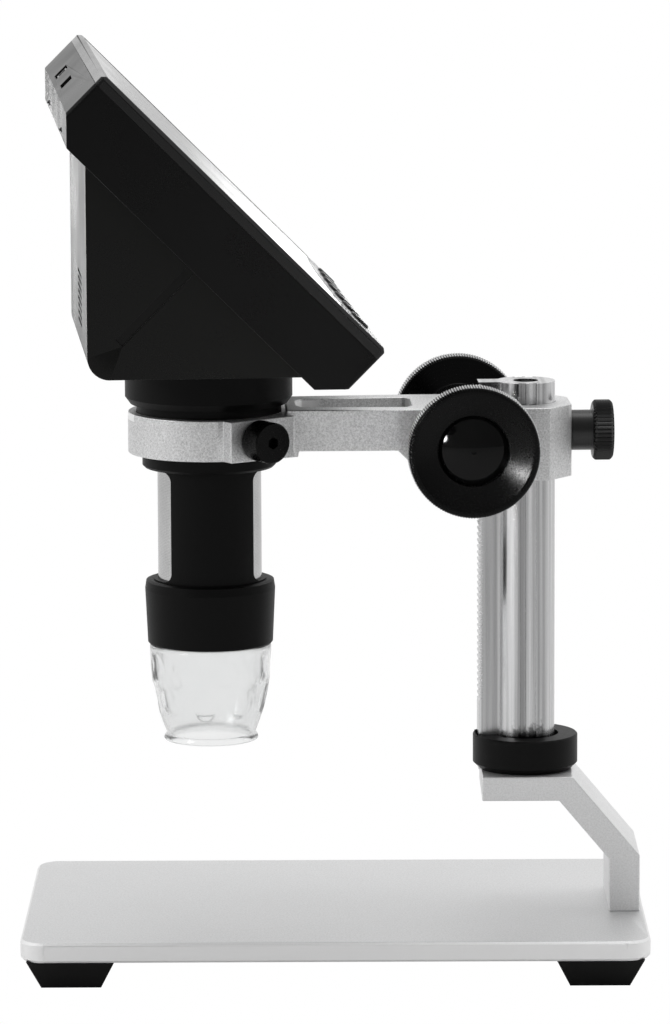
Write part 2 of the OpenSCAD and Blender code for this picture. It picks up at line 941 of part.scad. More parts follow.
module lock_knob() {
    neck = lock_neck_d / 2;
    grip = lock_grip_d / 2;
    end = lock_neck_l + lock_grip_l;
    color("#141414")
        on_column()
            translate([lock_neck_x, 0, lock_z])
                rotate([0, 90, 0])
                    rotate_extrude()
                        polygon([[lock_r, 0], [neck, 0], [neck, lock_neck_l],
                            [grip - 1, lock_neck_l], [grip, lock_neck_l + 1],
                            [grip, end - 1], [grip - 1, end], [0, end],
                            [0, lock_neck_l + lock_grip_l / 2], [lock_r, lock_neck_l + lock_grip_l / 2]]);
}

module clamp_pad() {
    color("#e8e4d8")
        on_clamp()
            translate([clamp_pad_x, 0, 0])
                rod_x(clamp_r - seat, pad_t);
}

module clamp_screw() {
    x0 = clamp_pad_x + pad_t + seat;
    r = clamp_head_d / 2;
    end = clamp_head_x + clamp_head_l;
    color("#141416")
        on_clamp()
            difference() {
                rotate([0, 90, 0])
                    rotate_extrude()
                        polygon([[0, x0], [clamp_r, x0], [clamp_r, clamp_head_x],
                            [r - edge, clamp_head_x], [r, clamp_head_x + edge],
                            [r, end - edge], [r - edge, end], [0, end]]);
                translate([end - clamp_hex_deep, 0, 0])
                    rotate([0, 90, 0])
                        cylinder(r = clamp_hex_r, h = clamp_hex_deep + over, $fn = 6);
            }
}

// ---- Tube ----

module neck_tube() {
    floor_z = tube_z + tube_floor;
    color("#131313")
        on_tube()
            difference() {
                rotate_extrude($fn = fine)
                    polygon([[sleeve_bore_r, tube_z], [grip_r, tube_z], [grip_r, neck_z],
                        [neck_r - neck_bevel.x, neck_z], [neck_r, neck_z + neck_bevel.y],
                        [neck_r, head_z],
                        [tube_bore_r, head_z], [tube_bore_r, floor_z], [sleeve_bore_r, floor_z]]);
                at_neck_screws()
                    translate([0, 0, head_z - neck_screw_l - over])
                        cylinder(r = neck_screw_r, h = neck_screw_l + 2 * over);
            }
}

module at_neck_screws() {
    for (a = [45:90:315])
        rotate([0, 0, a])
            translate([(tube_bore_r + neck_r) / 2, 0, 0])
                children();
}

module neck_screws() {
    color("silver")
        on_tube()
            at_neck_screws()
                translate([0, 0, head_z + wall])
                    mirror([0, 0, 1])
                        small_screw(neck_screw_r, wall + neck_screw_l);
}

module barrel() {
    rim_z = tube_z + tube_floor;
    color("#d8d8d8")
        on_tube()
            rotate_extrude()
                polygon([[barrel_in_r, barrel_z], [barrel_r, barrel_z], [barrel_r, rim_z],
                    [tube_bore_r - gap, rim_z], [tube_bore_r - gap, rim_z + barrel_rim_t],
                    [barrel_in_r, rim_z + barrel_rim_t]]);
}

module sensor_board() {
    z0 = tube_z + tube_floor + barrel_rim_t;
    color("#1f5a34")
        on_tube()
            translate([0, 0, z0]) {
                cylinder(r = tube_bore_r - gap, h = sensor_board_t);
                translate([-sensor.x / 2, -sensor.y / 2, -sensor.z])
                    cube(sensor);
                translate([sensor.x / 2, -sensor_plug.y / 2, sensor_board_t])
                    cube(sensor_plug);
            }
}

module led_board() {
    color("#f0f0ea")
        on_tube()
            translate([0, 0, barrel_z + led_inset])
                difference() {
                    cylinder(r = barrel_in_r - seat, h = led_board_t);
                    translate([0, 0, -over])
                        cylinder(r = led_hole_r, h = led_board_t + 2 * over);
                }
}

module leds() {
    color("#fff6d8")
        on_tube()
            for (i = [0:led_count - 1])
                rotate([0, 0, (i + 0.5) * 360 / led_count])
                    translate([led_ring_r, 0, barrel_z + led_inset])
                        mirror([0, 0, 1]) {
                            cylinder(d = led_d, h = led_h);
                            translate([0, 0, led_h])
                                sphere(d = led_d - edge, $fn = 32);
                        }
}

module lens_cell() {
    color("#202022")
        on_tube()
            translate([0, 0, cell_z])
                difference() {
                    cylinder(r = barrel_in_r - fit, h = cell_l);
                    translate([0, 0, -over])
                        cylinder(r = lens_r - 1, h = cell_l + 2 * over);
                    translate([0, 0, -over])
                        cylinder(r = lens_r, h = lens_seat + over);
                    translate([0, 0, cell_l - lens_seat])
                        cylinder(r = lens_r, h = lens_seat + over);
                    translate([0, 0, cell_rim])
                        difference() {
                            cylinder(r = barrel_in_r + over, h = cell_l - 2 * cell_rim);
                            translate([0, 0, -over])
                                cylinder(r = barrel_in_r - 2, h = cell_l);
                        }
                }
}

module lenses() {
    reach = sqrt(lens_curve * lens_curve - lens_r * lens_r) - lens_edge;
    color("#cfe4f0")
        on_tube()
            for (z = [cell_z + lens_seat / 2, cell_z + cell_l - lens_seat / 2])
                translate([0, 0, z])
                    intersection() {
                        cylinder(r = lens_r - fit, h = 2 * lens_curve, center = true);
                        translate([0, 0, reach])
                            sphere(lens_curve, $fn = fine);
                        translate([0, 0, -reach])
                            sphere(lens_curve, $fn = fine);
                    }
}

module focus_sleeve() {
    web_r = web_d / 2;
    flange_r = flange_d / 2;
    window_h = flange_z - skirt_top - 2 * edge;
    color("#121212")
        on_tube()
            difference() {
                rotate_extrude($fn = fine)
                    polygon([[plug_r, sleeve_z], [skirt_low_r - edge, sleeve_z],
                        [skirt_low_r, sleeve_z + edge], [skirt_r, skirt_top - skirt_slope],
                        [skirt_r - edge, skirt_top - edge], [skirt_r - 4 * edge, skirt_top],
                        [web_r, skirt_top], [web_r, flange_z], [flange_r - 2 * edge, flange_z],
                        [flange_r, flange_z + 2 * edge], [flange_r, sleeve_top - edge],
                        [flange_r - edge, sleeve_top], [sleeve_bore_r, sleeve_top],
                        [sleeve_bore_r, plug_top + edge], [plug_r, plug_top + edge]]);
                translate([0, 0, skirt_top + edge + window_h / 2])
                    rotate([0, 90, 0])
                        linear_extrude(2 * skirt_r + 2, center = true)
                            rounded_rect(window_h, window_w, window_corner);
            }
}

// The hood's outer radius at a depth t, from 0 at the top to 1 at the waist above the lip
function hood_at(t) = hood_r - (hood_r - hood_mouth_r) * pow(t, hood_curve);

module clear_hood() {
    waist = hood_h - hood_lip_h;
    outer = [for (i = [0:hood_steps]) let (t = i / hood_steps)
        [hood_at(t), sleeve_z - waist * t]];
    inner = [for (i = [hood_steps:-1:0]) let (t = i / hood_steps)
        [hood_at(t) - hood_wall, sleeve_z - waist * t - hood_wall / 2]];
    color("#dfeaf0", 0.5)
        on_tube()
            rotate_extrude($fn = fine)
                polygon(concat(
                    [[plug_r - fit, plug_top], [plug_r - fit, sleeve_z - gap], [hood_r, sleeve_z - gap]],
                    [for (i = [1:hood_steps]) outer[i]],
                    [[hood_lip_r, hood_z + 2 * edge], [hood_lip_r, hood_z],
                        [hood_mouth_r - hood_wall, hood_z]],
                    inner,
                    [[plug_r - hood_wall, sleeve_z], [plug_r - hood_wall, plug_top]]));
}

// ---- Screen unit ----

// Where a plane at a depth behind the screen's face crosses a height, or a distance forward
function slope_x(z, d) = screen_forward
    - (d + (z - screen_z) * cos(screen_tilt)) / sin(screen_tilt);
function slope_z(x, d) = screen_z
    - (d + (x - screen_forward) * sin(screen_tilt)) / cos(screen_tilt);

module housing_outline(inset, d) {
    x0 = -housing_back + inset;
    z0 = head_z + inset;
    r = housing_round - inset;
    polygon([[x0 + r, z0], [slope_x(z0, d), z0], [x0, slope_z(x0, d)], [x0, z0 + r]]);
    translate([x0 + r, z0 + r])
        circle(r);
}

module at_housing_posts() {
    for (x = [post_high, post_low], y = [-1, 1])
        translate([x, y * (housing_w / 2 - wall - housing_post_r + post_sink), -screen_t])
            children();
}

module rear_housing() {
    color("#17181a")
        on_tube()
            difference() {
                union() {
                    difference() {
                        across(housing_w) housing_outline(0, screen_t);
                        across(housing_w - 2 * wall) housing_outline(wall, screen_t - over);
                    }
                    translate([screen_forward, 0, screen_z])
                        rotate([0, screen_tilt, 0])
                            at_housing_posts()
                                mirror([0, 0, 1])
                                    cylinder(r = housing_post_r, h = housing_post_l);
                }
                translate([screen_forward, 0, screen_z])
                    rotate([0, screen_tilt, 0])
                        at_housing_posts()
                            mirror([0, 0, 1])
                                cylinder(r = case_screw_r, h = housing_post_l - post_blind);
                translate([0, 0, head_z - over])
                    cylinder(r = cable_hole_r, h = wall + 2 * over);
                at_neck_screws()
                    translate([0, 0, head_z - over])
                        cylinder(r = neck_screw_r + fit, h = wall + 2 * over);
                for (i = [0:slot_count - 1])
                    translate([-housing_back - over, grille_y - grille_w / 2,
                        grille_z + (i - (slot_count - 1) / 2) * slot_gap - slot_h / 2])
                        cube([wall + 2 * over, grille_w, slot_h]);
                for (y = [-1, 1])
                    side_groove(y);
            }
}

module side_groove(side) {
    translate([screen_forward, side * housing_w / 2, screen_z])
        rotate([0, screen_tilt, 0])
            translate([groove_x - groove_w / 2, -groove_deep, -screen_t - 2 - groove_l])
                cube([groove_w, 2 * groove_deep, groove_l]);
}

module housing_screws() {
    color("silver")
        on_screen()
            at_housing_posts()
                translate([0, 0, wall])
                    mirror([0, 0, 1])
                        small_screw(case_screw_r, wall + housing_post_l - 2 * post_blind);
}

module battery_pack() {
    color("#3b6ea8")
        on_tube()
            translate([-housing_back + housing_round + gap, battery_y, head_z + wall])
                cube(battery);
}

module speaker() {
    color("#2a2a2c")
        on_tube()
            translate([-housing_back + wall, grille_y, grille_z])
                difference() {
                    rod_x(speaker_r, speaker_t);
                    rotate([0, 90, 0])
                        translate([0, 0, -over])
                            cylinder(r1 = speaker_r - 1, r2 = speaker_r / 4, h = speaker_t - 1);
                }
}

// The shell's outline in x and depth; its lower edges are cut off at an angle
module shell_outline(inset, top) {
    slant = half_len + end_depth - inset * sqrt(2);
    l = half_len - inset;
    d = screen_t - inset;
    polygon([[-l, top], [-l, l - slant], [d - slant, -d], [slant - d, -d],
        [l, l - slant], [l, top]]);
}

module at_case_screws() {
    for (x = [-1, 1], y = [-1, 1])
        translate([x * case_boss_x, y * case_boss_y, -screen_t])
            children();
}

module at_board_screws() {
    for (x = [board_x + board_inset, board_x + board_len - board_inset], y = [-1, 1])
        translate([x, y * (board_w / 2 - board_inset), board_z])
            children();
}

module at_key_board_screws() {
    for (y = [-2.5, -0.5, 0.5, 2.5])
        translate([button_line, y * button_gap, 0])
            children();
}

module slab(z0, z1, r) {
    translate([0, 0, z0])
        linear_extrude(z1 - z0)
            rounded_rect(screen_len, screen_w, r);
}

module back_shell() {
    color("#141416")
        on_screen()
            difference() {
                union() {
                    difference() {
                        intersection() {
                            across(screen_w) shell_outline(0, -bezel_t);
                            slab(-screen_t, -bezel_t, screen_corner);
                        }
                        across(screen_w - 2 * wall) shell_outline(wall, over);
                    }
                    at_case_screws()
                        translate([0, 0, wall / 2])
                            cylinder(r = case_boss_r, h = screen_t - bezel_t - wall / 2);
                    at_board_screws()
                        mirror([0, 0, 1])
                            cylinder(r = standoff_r, h = board_z + screen_t - wall / 2);
                }
                at_case_screws() {
                    translate([0, 0, -over])
                        cylinder(r = case_screw_r + fit, h = screen_t);
                    translate([0, 0, -over])
                        cylinder(r = case_boss_r - 0.1, h = case_sink + over);
                }
                at_board_screws()
                    mirror([0, 0, 1])
                        cylinder(r = case_screw_r, h = board_z + screen_t - wall);
                at_housing_posts()
                    translate([0, 0, -over])
                        cylinder(r = case_screw_r + fit, h = wall + 2 * over);
                translate([-half_len - over, port_y - port_hole.x / 2, hole_n - port_hole.y / 2])
                    cube([wall + 2 * over, port_hole.x, port_hole.y]);
                translate([-half_len - over, card_y - card_hole.x / 2, hole_n - card_hole.y / 2])
                    cube([wall + 2 * over, card_hole.x, card_hole.y]);
                translate([cable_x, 0, -screen_t - over])
                    cylinder(r = cable_hole_r, h = wall + 2 * over);
            }
}

module case_screws() {
    color("silver")
        on_screen()
            at_case_screws()
                translate([0, 0, case_sink])
                    small_screw(case_screw_r, screen_t - case_sink - bezel_t + case_screw_in - gap);
}

module window_outline(grow) {
    l = half_len - window_edge + grow;
    w = window_side + grow;
    difference() {
        translate([-l, -w])
            square([l + window_x + strip_bow, 2 * w]);
        translate([window_x + strip_r + grow, 0])
            circle(strip_r, $fn = 360);
    }
}

module at_buttons() {
    for (i = [-3:3])
        at_button(i)
            children();
}

module at_button(i) {
    y = i * button_gap;
    translate([button_line + strip_r - sqrt(strip_r * strip_r - y * y), y, 0])
        children();
}

module front_bezel() {
    color("#1c1d1f")
        on_screen()
            difference() {
                union() {
                    intersection() {
                        slab(-bezel_t, 0, screen_corner);
                        bezel_prism(half_len, screen_w);
                        rotate([0, 0, 90]) bezel_prism(half_w, screen_len);
                    }
                    at_key_board_screws()
                        translate([0, 0, key_board_z + key_board_t])
                            cylinder(r = post_r, h = -bezel_t - key_board_z - key_board_t + over);
                }
                translate([0, 0, -glass_seat])
                    linear_extrude(glass_seat + over)
                        window_outline(seat);
                translate([lcd_x - view_len / 2 - view_edge, -view_w / 2 - view_edge, -bezel_t - over])
                    cube([view_len + 2 * view_edge, view_w + 2 * view_edge, bezel_t]);
                at_buttons()
                    translate([0, 0, -bezel_t - over])
                        cylinder(r = button_r + fit, h = bezel_t + 2 * over);
                at_key_board_screws()
                    translate([0, 0, key_board_z])
                        cylinder(r = pin_r, h = -key_board_z - post_skin);
                at_case_screws()
                    translate([0, 0, screen_t - bezel_t - over])
                        cylinder(r = case_screw_r, h = case_screw_in + over);
            }
}

module bezel_prism(half, w) {
    across(w)
        polygon([[-half, -bezel_t], [half, -bezel_t], [half, -bezel_edge],
            [half - bezel_edge, 0], [bezel_edge - half, 0], [-half, -bezel_edge]]);
}

module front_window() {
    color("#0c0d10")
        on_screen()
            translate([0, 0, -glass_seat])
                linear_extrude(glass_t)
                    window_outline(0);
}

module display_module() {
    color("#3a3d42")
        on_screen()
            translate([lcd_x - lcd_len / 2, -lcd_w / 2, lcd_bottom])
                cube([lcd_len, lcd_w, lcd_t]);
}

module display_ribbon() {
    top = lcd_bottom;
    low = board_z + board_t;
    color("#c98a2b")
        on_screen()
            translate([board_x + board_len - 2 * ribbon_foot, -board_w / 4, 0])
                across(ribbon_w)
                    polygon([[-ribbon_foot, low], [ribbon_t, low], [ribbon_t, top - ribbon_t],
                        [ribbon_foot, top - ribbon_t], [ribbon_foot, top], [0, top],
                        [0, low + ribbon_t], [-ribbon_foot, low + ribbon_t]]);
}

module key_board() {
    color("#1f5a34")
        on_screen()
            difference() {
                union() {
                    translate([key_board_x, -key_board_l / 2, key_board_z])
                        cube([key_board_w, key_board_l, key_board_t]);
                    at_buttons()
                        translate([-switch_w / 2, -switch_w / 2, key_board_z + key_board_t - seat])
                            cube([switch_w, switch_w, switch_t + seat]);
                }
                at_key_board_screws()
                    translate([0, 0, key_board_z - over])
                        cylinder(r = pin_r + fit, h = key_board_t + 2 * over);
            }
}

module main_board() {
    color("#1c6b3c")
        on_screen()
            difference() {
                translate([board_x, -board_w / 2, board_z]) {
                    cube([board_len, board_w, board_t]);
                    for (chip = chips)
                        translate([chip[0], chip[1], board_t - seat])
                            cube([chip[2], chip[3], chip[4]]);
                }
                at_board_screws()
                    translate([0, 0, -over])
                        cylinder(r = case_screw_r + fit, h = board_t + 2 * over);
            }
}

module board_screws() {
    color("silver")
        on_screen() {
            at_board_screws()
                translate([0, 0, board_t])
                    mirror([0, 0, 1])
                        small_screw(case_screw_r, board_t + 5);
            at_key_board_screws()
                translate([0, 0, key_board_z])
                    small_screw(pin_r, -key_board_z - post_skin - gap);
        }
}

module usb_port() {
    color("#b8babd")
        on_screen()
            translate([-half_len + port_skin, port_y - port.y / 2, board_z + board_t]) {
                difference() {
                    cube(port);
                    translate([-over, port_skin, port_skin])
                        cube([port.x - port_skin + over, port.y - 2 * port_skin,
                            port.z - 2 * port_skin]);
                }
                translate([port.x / 2, port.y / 4, (port.z - port_skin) / 2])
                    cube([port.x / 2, port.y / 2, port_skin]);
            }
}

module card_socket() {
    color("#a9abae")
        on_screen()
            translate([board_x, card_y - card.y / 2, board_z + board_t])
                difference() {
                    cube(card);
                    translate([-over, 1, port_skin])
                        cube([card.x - 2 + over, card.y - 2, card.z - 2 * port_skin]);
                }
}

module button(i) {
    color("#232427")
        on_screen()
            at_button(i)
                rotate_extrude()
                    polygon([[0, flange_top - flange_t], [button_r + flange_lip, flange_top - flange_t],
                        [button_r + flange_lip, flange_top], [button_r, flange_top],
                        [button_r, button_stand - edge], [button_r - edge, button_stand],
                        [0, button_stand]]);
}

module power_button() {
    button(-3);
}

module menu_button() {
    button(-2);
}

module up_button() {
    button(-1);
}

module ok_button() {
    button(0);
}

module down_button() {
    button(1);
}

module mode_button() {
    button(2);
}

module shutter_button() {
    button(3);
}

base_plate();
rubber_feet();
foot_screws();
riser_bracket();
riser_screws();
column_bolt();
column_collar();
column();
carriage_arm();
axle_bushes();
pinion_axle();
near_focus_knob();
far_focus_knob();
knob_caps();
knob_grub_screws();
lock_pad();
lock_stud();
lock_knob();
clamp_pad();
clamp_screw();
neck_tube();
neck_screws();
barrel();
sensor_board();
led_board();
leds();
lens_cell();
lenses();
focus_sleeve();
clear_hood();
rear_housing();
housing_screws();
back_shell();
case_screws();
front_bezel();
front_window();
display_module();
display_ribbon();
key_board();
main_board();
board_screws();
usb_port();
card_socket();
battery_pack();
speaker();
power_button();
menu_button();
up_button();
ok_button();
down_button();
mode_button();
shutter_button();
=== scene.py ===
import bpy
import bmesh
import math
from mathutils import Matrix, Vector


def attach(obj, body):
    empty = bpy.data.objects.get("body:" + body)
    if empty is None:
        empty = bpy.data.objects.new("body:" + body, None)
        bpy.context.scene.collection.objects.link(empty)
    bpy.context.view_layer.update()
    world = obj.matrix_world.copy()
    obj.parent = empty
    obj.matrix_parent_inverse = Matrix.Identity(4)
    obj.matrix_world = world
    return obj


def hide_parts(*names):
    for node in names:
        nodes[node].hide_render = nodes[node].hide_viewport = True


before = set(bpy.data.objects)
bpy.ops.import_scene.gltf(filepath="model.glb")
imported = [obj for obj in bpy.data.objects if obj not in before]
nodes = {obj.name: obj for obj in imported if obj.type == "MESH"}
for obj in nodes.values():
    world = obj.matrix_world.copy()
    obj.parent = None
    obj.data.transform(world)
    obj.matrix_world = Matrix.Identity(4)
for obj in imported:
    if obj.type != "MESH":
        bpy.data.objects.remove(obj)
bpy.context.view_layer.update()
print("frame loaded,", len(nodes), "nodes")

millimetres = 1000  # in a metre
sameSpot = 0.000001  # metres: points this close are one point
onAxis = 0.000001  # millimetres: a radius this small is nought


def turned(degrees, axis):
    return Matrix.Rotation(math.radians(degrees), 4, axis)


# Where the column stands, and where the tube, the knobs' axle and the lock screw are from it, in metres
# and degrees
frameSettings = {"column": (0.0619, 0.004449, 0), "armYaw": 2.5, "tube": (-0.102, 0, 0), "headYaw": 2.5,
                 "axle": (-0.019336, 0, 0.1695), "lock": (0.0145, 0, 0.1705)}
columnFrame = Matrix.Translation(frameSettings["column"]) @ turned(frameSettings["armYaw"], "Z")
tubeFrame = columnFrame @ Matrix.Translation(frameSettings["tube"]) @ turned(frameSettings["headYaw"], "Z")
axleFrame = columnFrame @ Matrix.Translation(frameSettings["axle"])
lockFrame = columnFrame @ Matrix.Translation(frameSettings["lock"]) @ turned(90, "Y")


# Camera: a long lens, looking slightly down. Its focal length is in pixels of a picture this tall
cameraSettings = {"place": (0.0004, -1.75013, 0.42428), "pitch": 9.073, "roll": -0.236, "focal": 5500,
                  "tall": 1024, "near": 0.1, "far": 20}


def makeCamera(settings):
    pitch, roll = math.radians(settings["pitch"]), math.radians(settings["roll"])
    ahead = Vector((0, math.cos(pitch), -math.sin(pitch)))
    level = Vector((0, math.sin(pitch), math.cos(pitch)))
    right = Vector((math.cos(roll), 0, 0)) + math.sin(roll) * level
    up = math.cos(roll) * level - Vector((math.sin(roll), 0, 0))
    data = bpy.data.cameras.new("camera")
    data.lens = settings["focal"] * data.sensor_width / settings["tall"]
    data.clip_start, data.clip_end = settings["near"], settings["far"]
    camera = bpy.data.objects.new("camera", data)
    facing = Matrix((right, up, -ahead)).transposed().to_4x4()
    camera.matrix_world = Matrix.Translation(settings["place"]) @ facing
    bpy.context.scene.collection.objects.link(camera)
    bpy.context.scene.camera = camera


makeCamera(cameraSettings)
bpy.context.scene.view_settings.view_transform = "Standard"
print("camera made")


# Links a wire to a socket, or sets the socket's value
def plug(tree, slot, value):
    if isinstance(value, Wire):
        tree.links.new(value.socket, slot)
    elif value is not None:
        slot.default_value = value


class Wire:
    # A socket that can be used in sums

    def __init__(self, tree, socket):
        self.tree, self.socket = tree, socket

    def maths(self, kind, *values):
        node = self.tree.nodes.new("ShaderNodeMath")
        node.operation = kind
        for slot, value in zip(node.inputs, values):
            plug(self.tree, slot, value)
        return Wire(self.tree, node.outputs[0])

    def __add__(self, other):
        return self.maths("ADD", self, other)

    __radd__ = __add__

    def __mul__(self, other):
        return self.maths("MULTIPLY", self, other)

    __rmul__ = __mul__

    def __sub__(self, other):
        return self.maths("SUBTRACT", self, other)

    def __rsub__(self, other):
        return self.maths("SUBTRACT", other, self)

    def most(self, other):
        return self.maths("MAXIMUM", self, other)

    def sine(self):
        return self.maths("SINE", self)

    def size(self):
        return self.maths("ABSOLUTE", self)


# Patterns added up, each with its share
def blend(shares, *patterns):
    return sum(share * pattern for share, pattern in zip(shares, patterns))


def grey(value, tint=(0, 0, 0)):
    return (value + tint[0], value + tint[1], value + tint[2], 1)


class Shading:
    # One node tree, with short ways to add to it

    def __init__(self, tree):
        self.tree = tree

    def add(self, kind, settings=None, values=None, out=0):
        node = self.tree.nodes.new(kind)
        for key, value in (settings or {}).items():
            setattr(node, key, value)
        for key, value in (values or {}).items():
            plug(self.tree, node.inputs[key], value)
        if node.outputs:
            return Wire(self.tree, node.outputs[out])

    def noise(self, scale, detail=2, stretch=(1, 1, 1), rough=0.55):
        here = self.add("ShaderNodeTexCoord", out="Object")
        places = self.add("ShaderNodeMapping", None, {"Vector": here, "Scale": stretch})
        return self.add("ShaderNodeTexNoise", None, {
            "Vector": places, "Scale": scale, "Detail": detail, "Roughness": rough})

    def between(self, value, low, high, start=0, end=1):
        return self.add("ShaderNodeMapRange", {"clamp": True}, {
            "Value": value, "From Min": low, "From Max": high, "To Min": start, "To Max": end})

    def mix(self, factor, first, second):
        return self.add("ShaderNodeMix", {"data_type": "RGBA"}, {0: factor, 6: first, 7: second}, out=2)

    def vector(self, kind, first, second=None, out=0):
        return self.add("ShaderNodeVectorMath", {"operation": kind}, {0: first, 1: second}, out=out)

    def split(self, vector):
        return [self.add("ShaderNodeSeparateXYZ", None, {0: vector}, out=axis) for axis in range(3)]

    # The shaded spot as seen from the middle of a frame, in metres
    def spotFrom(self, matrix):
        here = self.add("ShaderNodeTexCoord", out="Object")
        return self.vector("SUBTRACT", here, tuple(matrix.translation))

    # How far a spot lies along one axis of a frame, in metres
    def along(self, spot, matrix, axis):
        return self.vector("DOT_PRODUCT", spot, tuple(matrix.to_3x3() @ Vector(axis)), out="Value")

    # How far a spot lies from the z axis of a frame, in metres
    def awayFrom(self, spot, matrix):
        axis = tuple(matrix.to_3x3() @ Vector((0, 0, 1)))
        return self.vector("LENGTH", self.vector("CROSS_PRODUCT", spot, axis), out="Value")

    # One for the rays that should meet a white backdrop
    def seen(self):
        straight = self.add("ShaderNodeLightPath", out="Is Camera Ray")
        return straight.most(self.add("ShaderNodeLightPath", out="Is Transmission Ray"))


class Look(Shading):
    # A material on the Principled shader

    def __init__(self, name, constants):
        self.material = bpy.data.materials.new(name)
        self.material.use_nodes = True
        super().__init__(self.material.node_tree)
        self.shader = self.tree.nodes["Principled BSDF"]
        for key, value in constants.items():
            self.shader.inputs[key].default_value = value

    def colour(self, value):
        plug(self.tree, self.shader.inputs["Base Color"], value)

    # Roughness near the finish's own, changed from one end of a pattern to the other
    def wear(self, pattern, settings):
        low, high, start, end = settings["wear"]
        rough = settings["rough"]
        worn = self.between(pattern, low, high, rough + start, rough + end)
        plug(self.tree, self.shader.inputs["Roughness"], worn)

    # Relief as deep as the finish's own, in metres
    def bump(self, height, settings):
        normal = self.add("ShaderNodeBump", None, {
            "Height": height, "Distance": settings["deep"], "Strength": settings["strength"]})
        plug(self.tree, self.shader.inputs["Normal"], normal)


# One inside a long pocket about the middle of a frame, nought outside it, in millimetres
def pocketMask(look, matrix, settings):
    half, low, high, soft = settings["half"], settings["low"], settings["high"], settings["soft"]
    spot = look.spotFrom(matrix)
    across = look.along(spot, matrix, (0, 1, 0)) * millimetres
    height = look.split(spot)[2] * millimetres
    deep = look.between(height, low, low + soft) * look.between(height, high, high + soft, 1, 0)
    return deep * look.between(across.size(), half, half + soft, 1, 0)


# In the finishes below, a value that ends in Range holds the ends between which a pattern is spread, and
# one that ends in Shares holds the patterns' shares. Wear is such a range, with the change of roughness
# at each of its ends

# Blasted aluminium: a bright skin broken up into small sparkling facets. With pocket or side set, painted
# light is added: lighter pocket walls, and sides lighter than the top
blastDefaults = {
    "grit": 0.7, "finer": 3.1, "patches": 26, "facetShares": (0.62, 0.38), "facetRange": (0.36, 0.64),
    "toneShares": (1, 0.25), "toneRange": (0.1, 1.05), "tint": (0, 0.002, 0.006), "rough": 0.46,
    "wear": (0, 1, 0.12, 0), "bumpShares": (0.6, 0.5), "deep": 0.00004, "strength": 0.8,
    "pocket": None, "side": None, "paintedSideRange": (0.6, 0.9)}


def blastedLook(name, changes):
    settings = {**blastDefaults, **changes}
    look = Look(name, {"Metallic": 1.0})
    coarse = look.noise(settings["speck"], detail=3, rough=settings["grit"])
    fine = look.noise(settings["speck"] * settings["finer"])
    broad = look.noise(settings["patches"])
    facets = look.between(blend(settings["facetShares"], coarse, fine), *settings["facetRange"])
    tone = look.between(blend(settings["toneShares"], facets, broad), *settings["toneRange"])
    skin = look.mix(tone, grey(settings["dark"]), grey(settings["light"], settings["tint"]))
    pocket = settings["pocket"]
    # The pocket's walls are painted lighter: partly their machined finish, partly painted light in the
    # pocket's shade
    if pocket:
        skin = look.mix(pocketMask(look, columnFrame, pocket), skin, grey(pocket["wall"]))
    # Faces that look sideways are painted lighter than the top: painted light, and partly a machined edge
    if settings["side"]:
        upward = look.split(look.add("ShaderNodeNewGeometry", out="Normal"))[2]
        paintedSides = look.between(upward, *settings["paintedSideRange"], 1, 0)
        skin = look.mix(paintedSides, skin, grey(settings["side"]))
    look.colour(skin)
    look.wear(facets, settings)
    look.bump(blend(settings["bumpShares"], coarse, fine), settings)
    return look.material


# Drawn metal: fine scratches along one way
drawnDefaults = {
    "wider": 6, "dust": 2600, "toneShares": (0.5, 0.4, 0.1), "toneRange": (0.36, 0.62),
    "tint": (0, 0.002, 0.008), "wear": (0.3, 0.7, 0.08, -0.04), "bumpShares": (0.7, 0.3),
    "deep": 0.00001, "strength": 0.7}


def drawnLook(name, changes):
    settings = {**drawnDefaults, **changes}
    look = Look(name, {"Metallic": 1.0})
    lines = look.noise(settings["lines"], detail=3, stretch=settings["stretch"])
    wide = look.noise(settings["lines"] / settings["wider"], stretch=settings["stretch"])
    dust = look.noise(settings["dust"])
    tone = look.between(blend(settings["toneShares"], lines, wide, dust), *settings["toneRange"])
    look.colour(look.mix(tone, grey(settings["dark"]), grey(settings["light"], settings["tint"])))
    look.wear(lines, settings)
    look.bump(blend(settings["bumpShares"], lines, dust), settings)
    return look.material


# The drawn column: painted shade in the grooves and painted reflections on the facets change the tone from
# one strip of its profile to the next, and the middle of the profile is darker towards the collar
columnSettings = {
    "lines": 1100, "stretch": (1, 1, 0.012), "dust": 2600, "toneShares": (0.8, 0.2),
    "toneRange": (0.35, 0.65), "dark": 0.60, "light": 0.78, "tint": (0, 0, 0.008), "rough": 0.22,
    "wear": (0.3, 0.7, 0.06, -0.04), "bumpShares": (0.7, 0.3), "deep": 0.00002, "strength": 0.6,
    # Where the middle of the profile grows darker: the top of that in millimetres over the ground, how ragged
    # and how soft it ends, and its tone
    "lowDarkening": 79, "lowDarkeningNoise": 420, "lowDarkeningRagged": 14, "lowDarkeningSoft": 3.5, "lowDarkeningTone": 0.3,
    # The darkening fades out to the sides of the profile, between these distances from its middle
    "lowDarkeningMiddle": 0.5, "fadeRange": (4.4, 5.6),
    # Strips of painted shade in the grooves and painted reflection on the facets: each strip's middle, half
    # width, soft edge and tone, in millimetres across the column
    "paintedShadeStrips": ((-12, 2.0, 0.9, 0.68), (-9.6, 0.2, 1.4, 0.78), (-1.9, 0.9, 1.7, 0.52), (2.3, 0.2, 0.8, 0.74),
               (3.6, 0.2, 0.6, 0.55), (5.3, 0.3, 1.0, 0.6))}


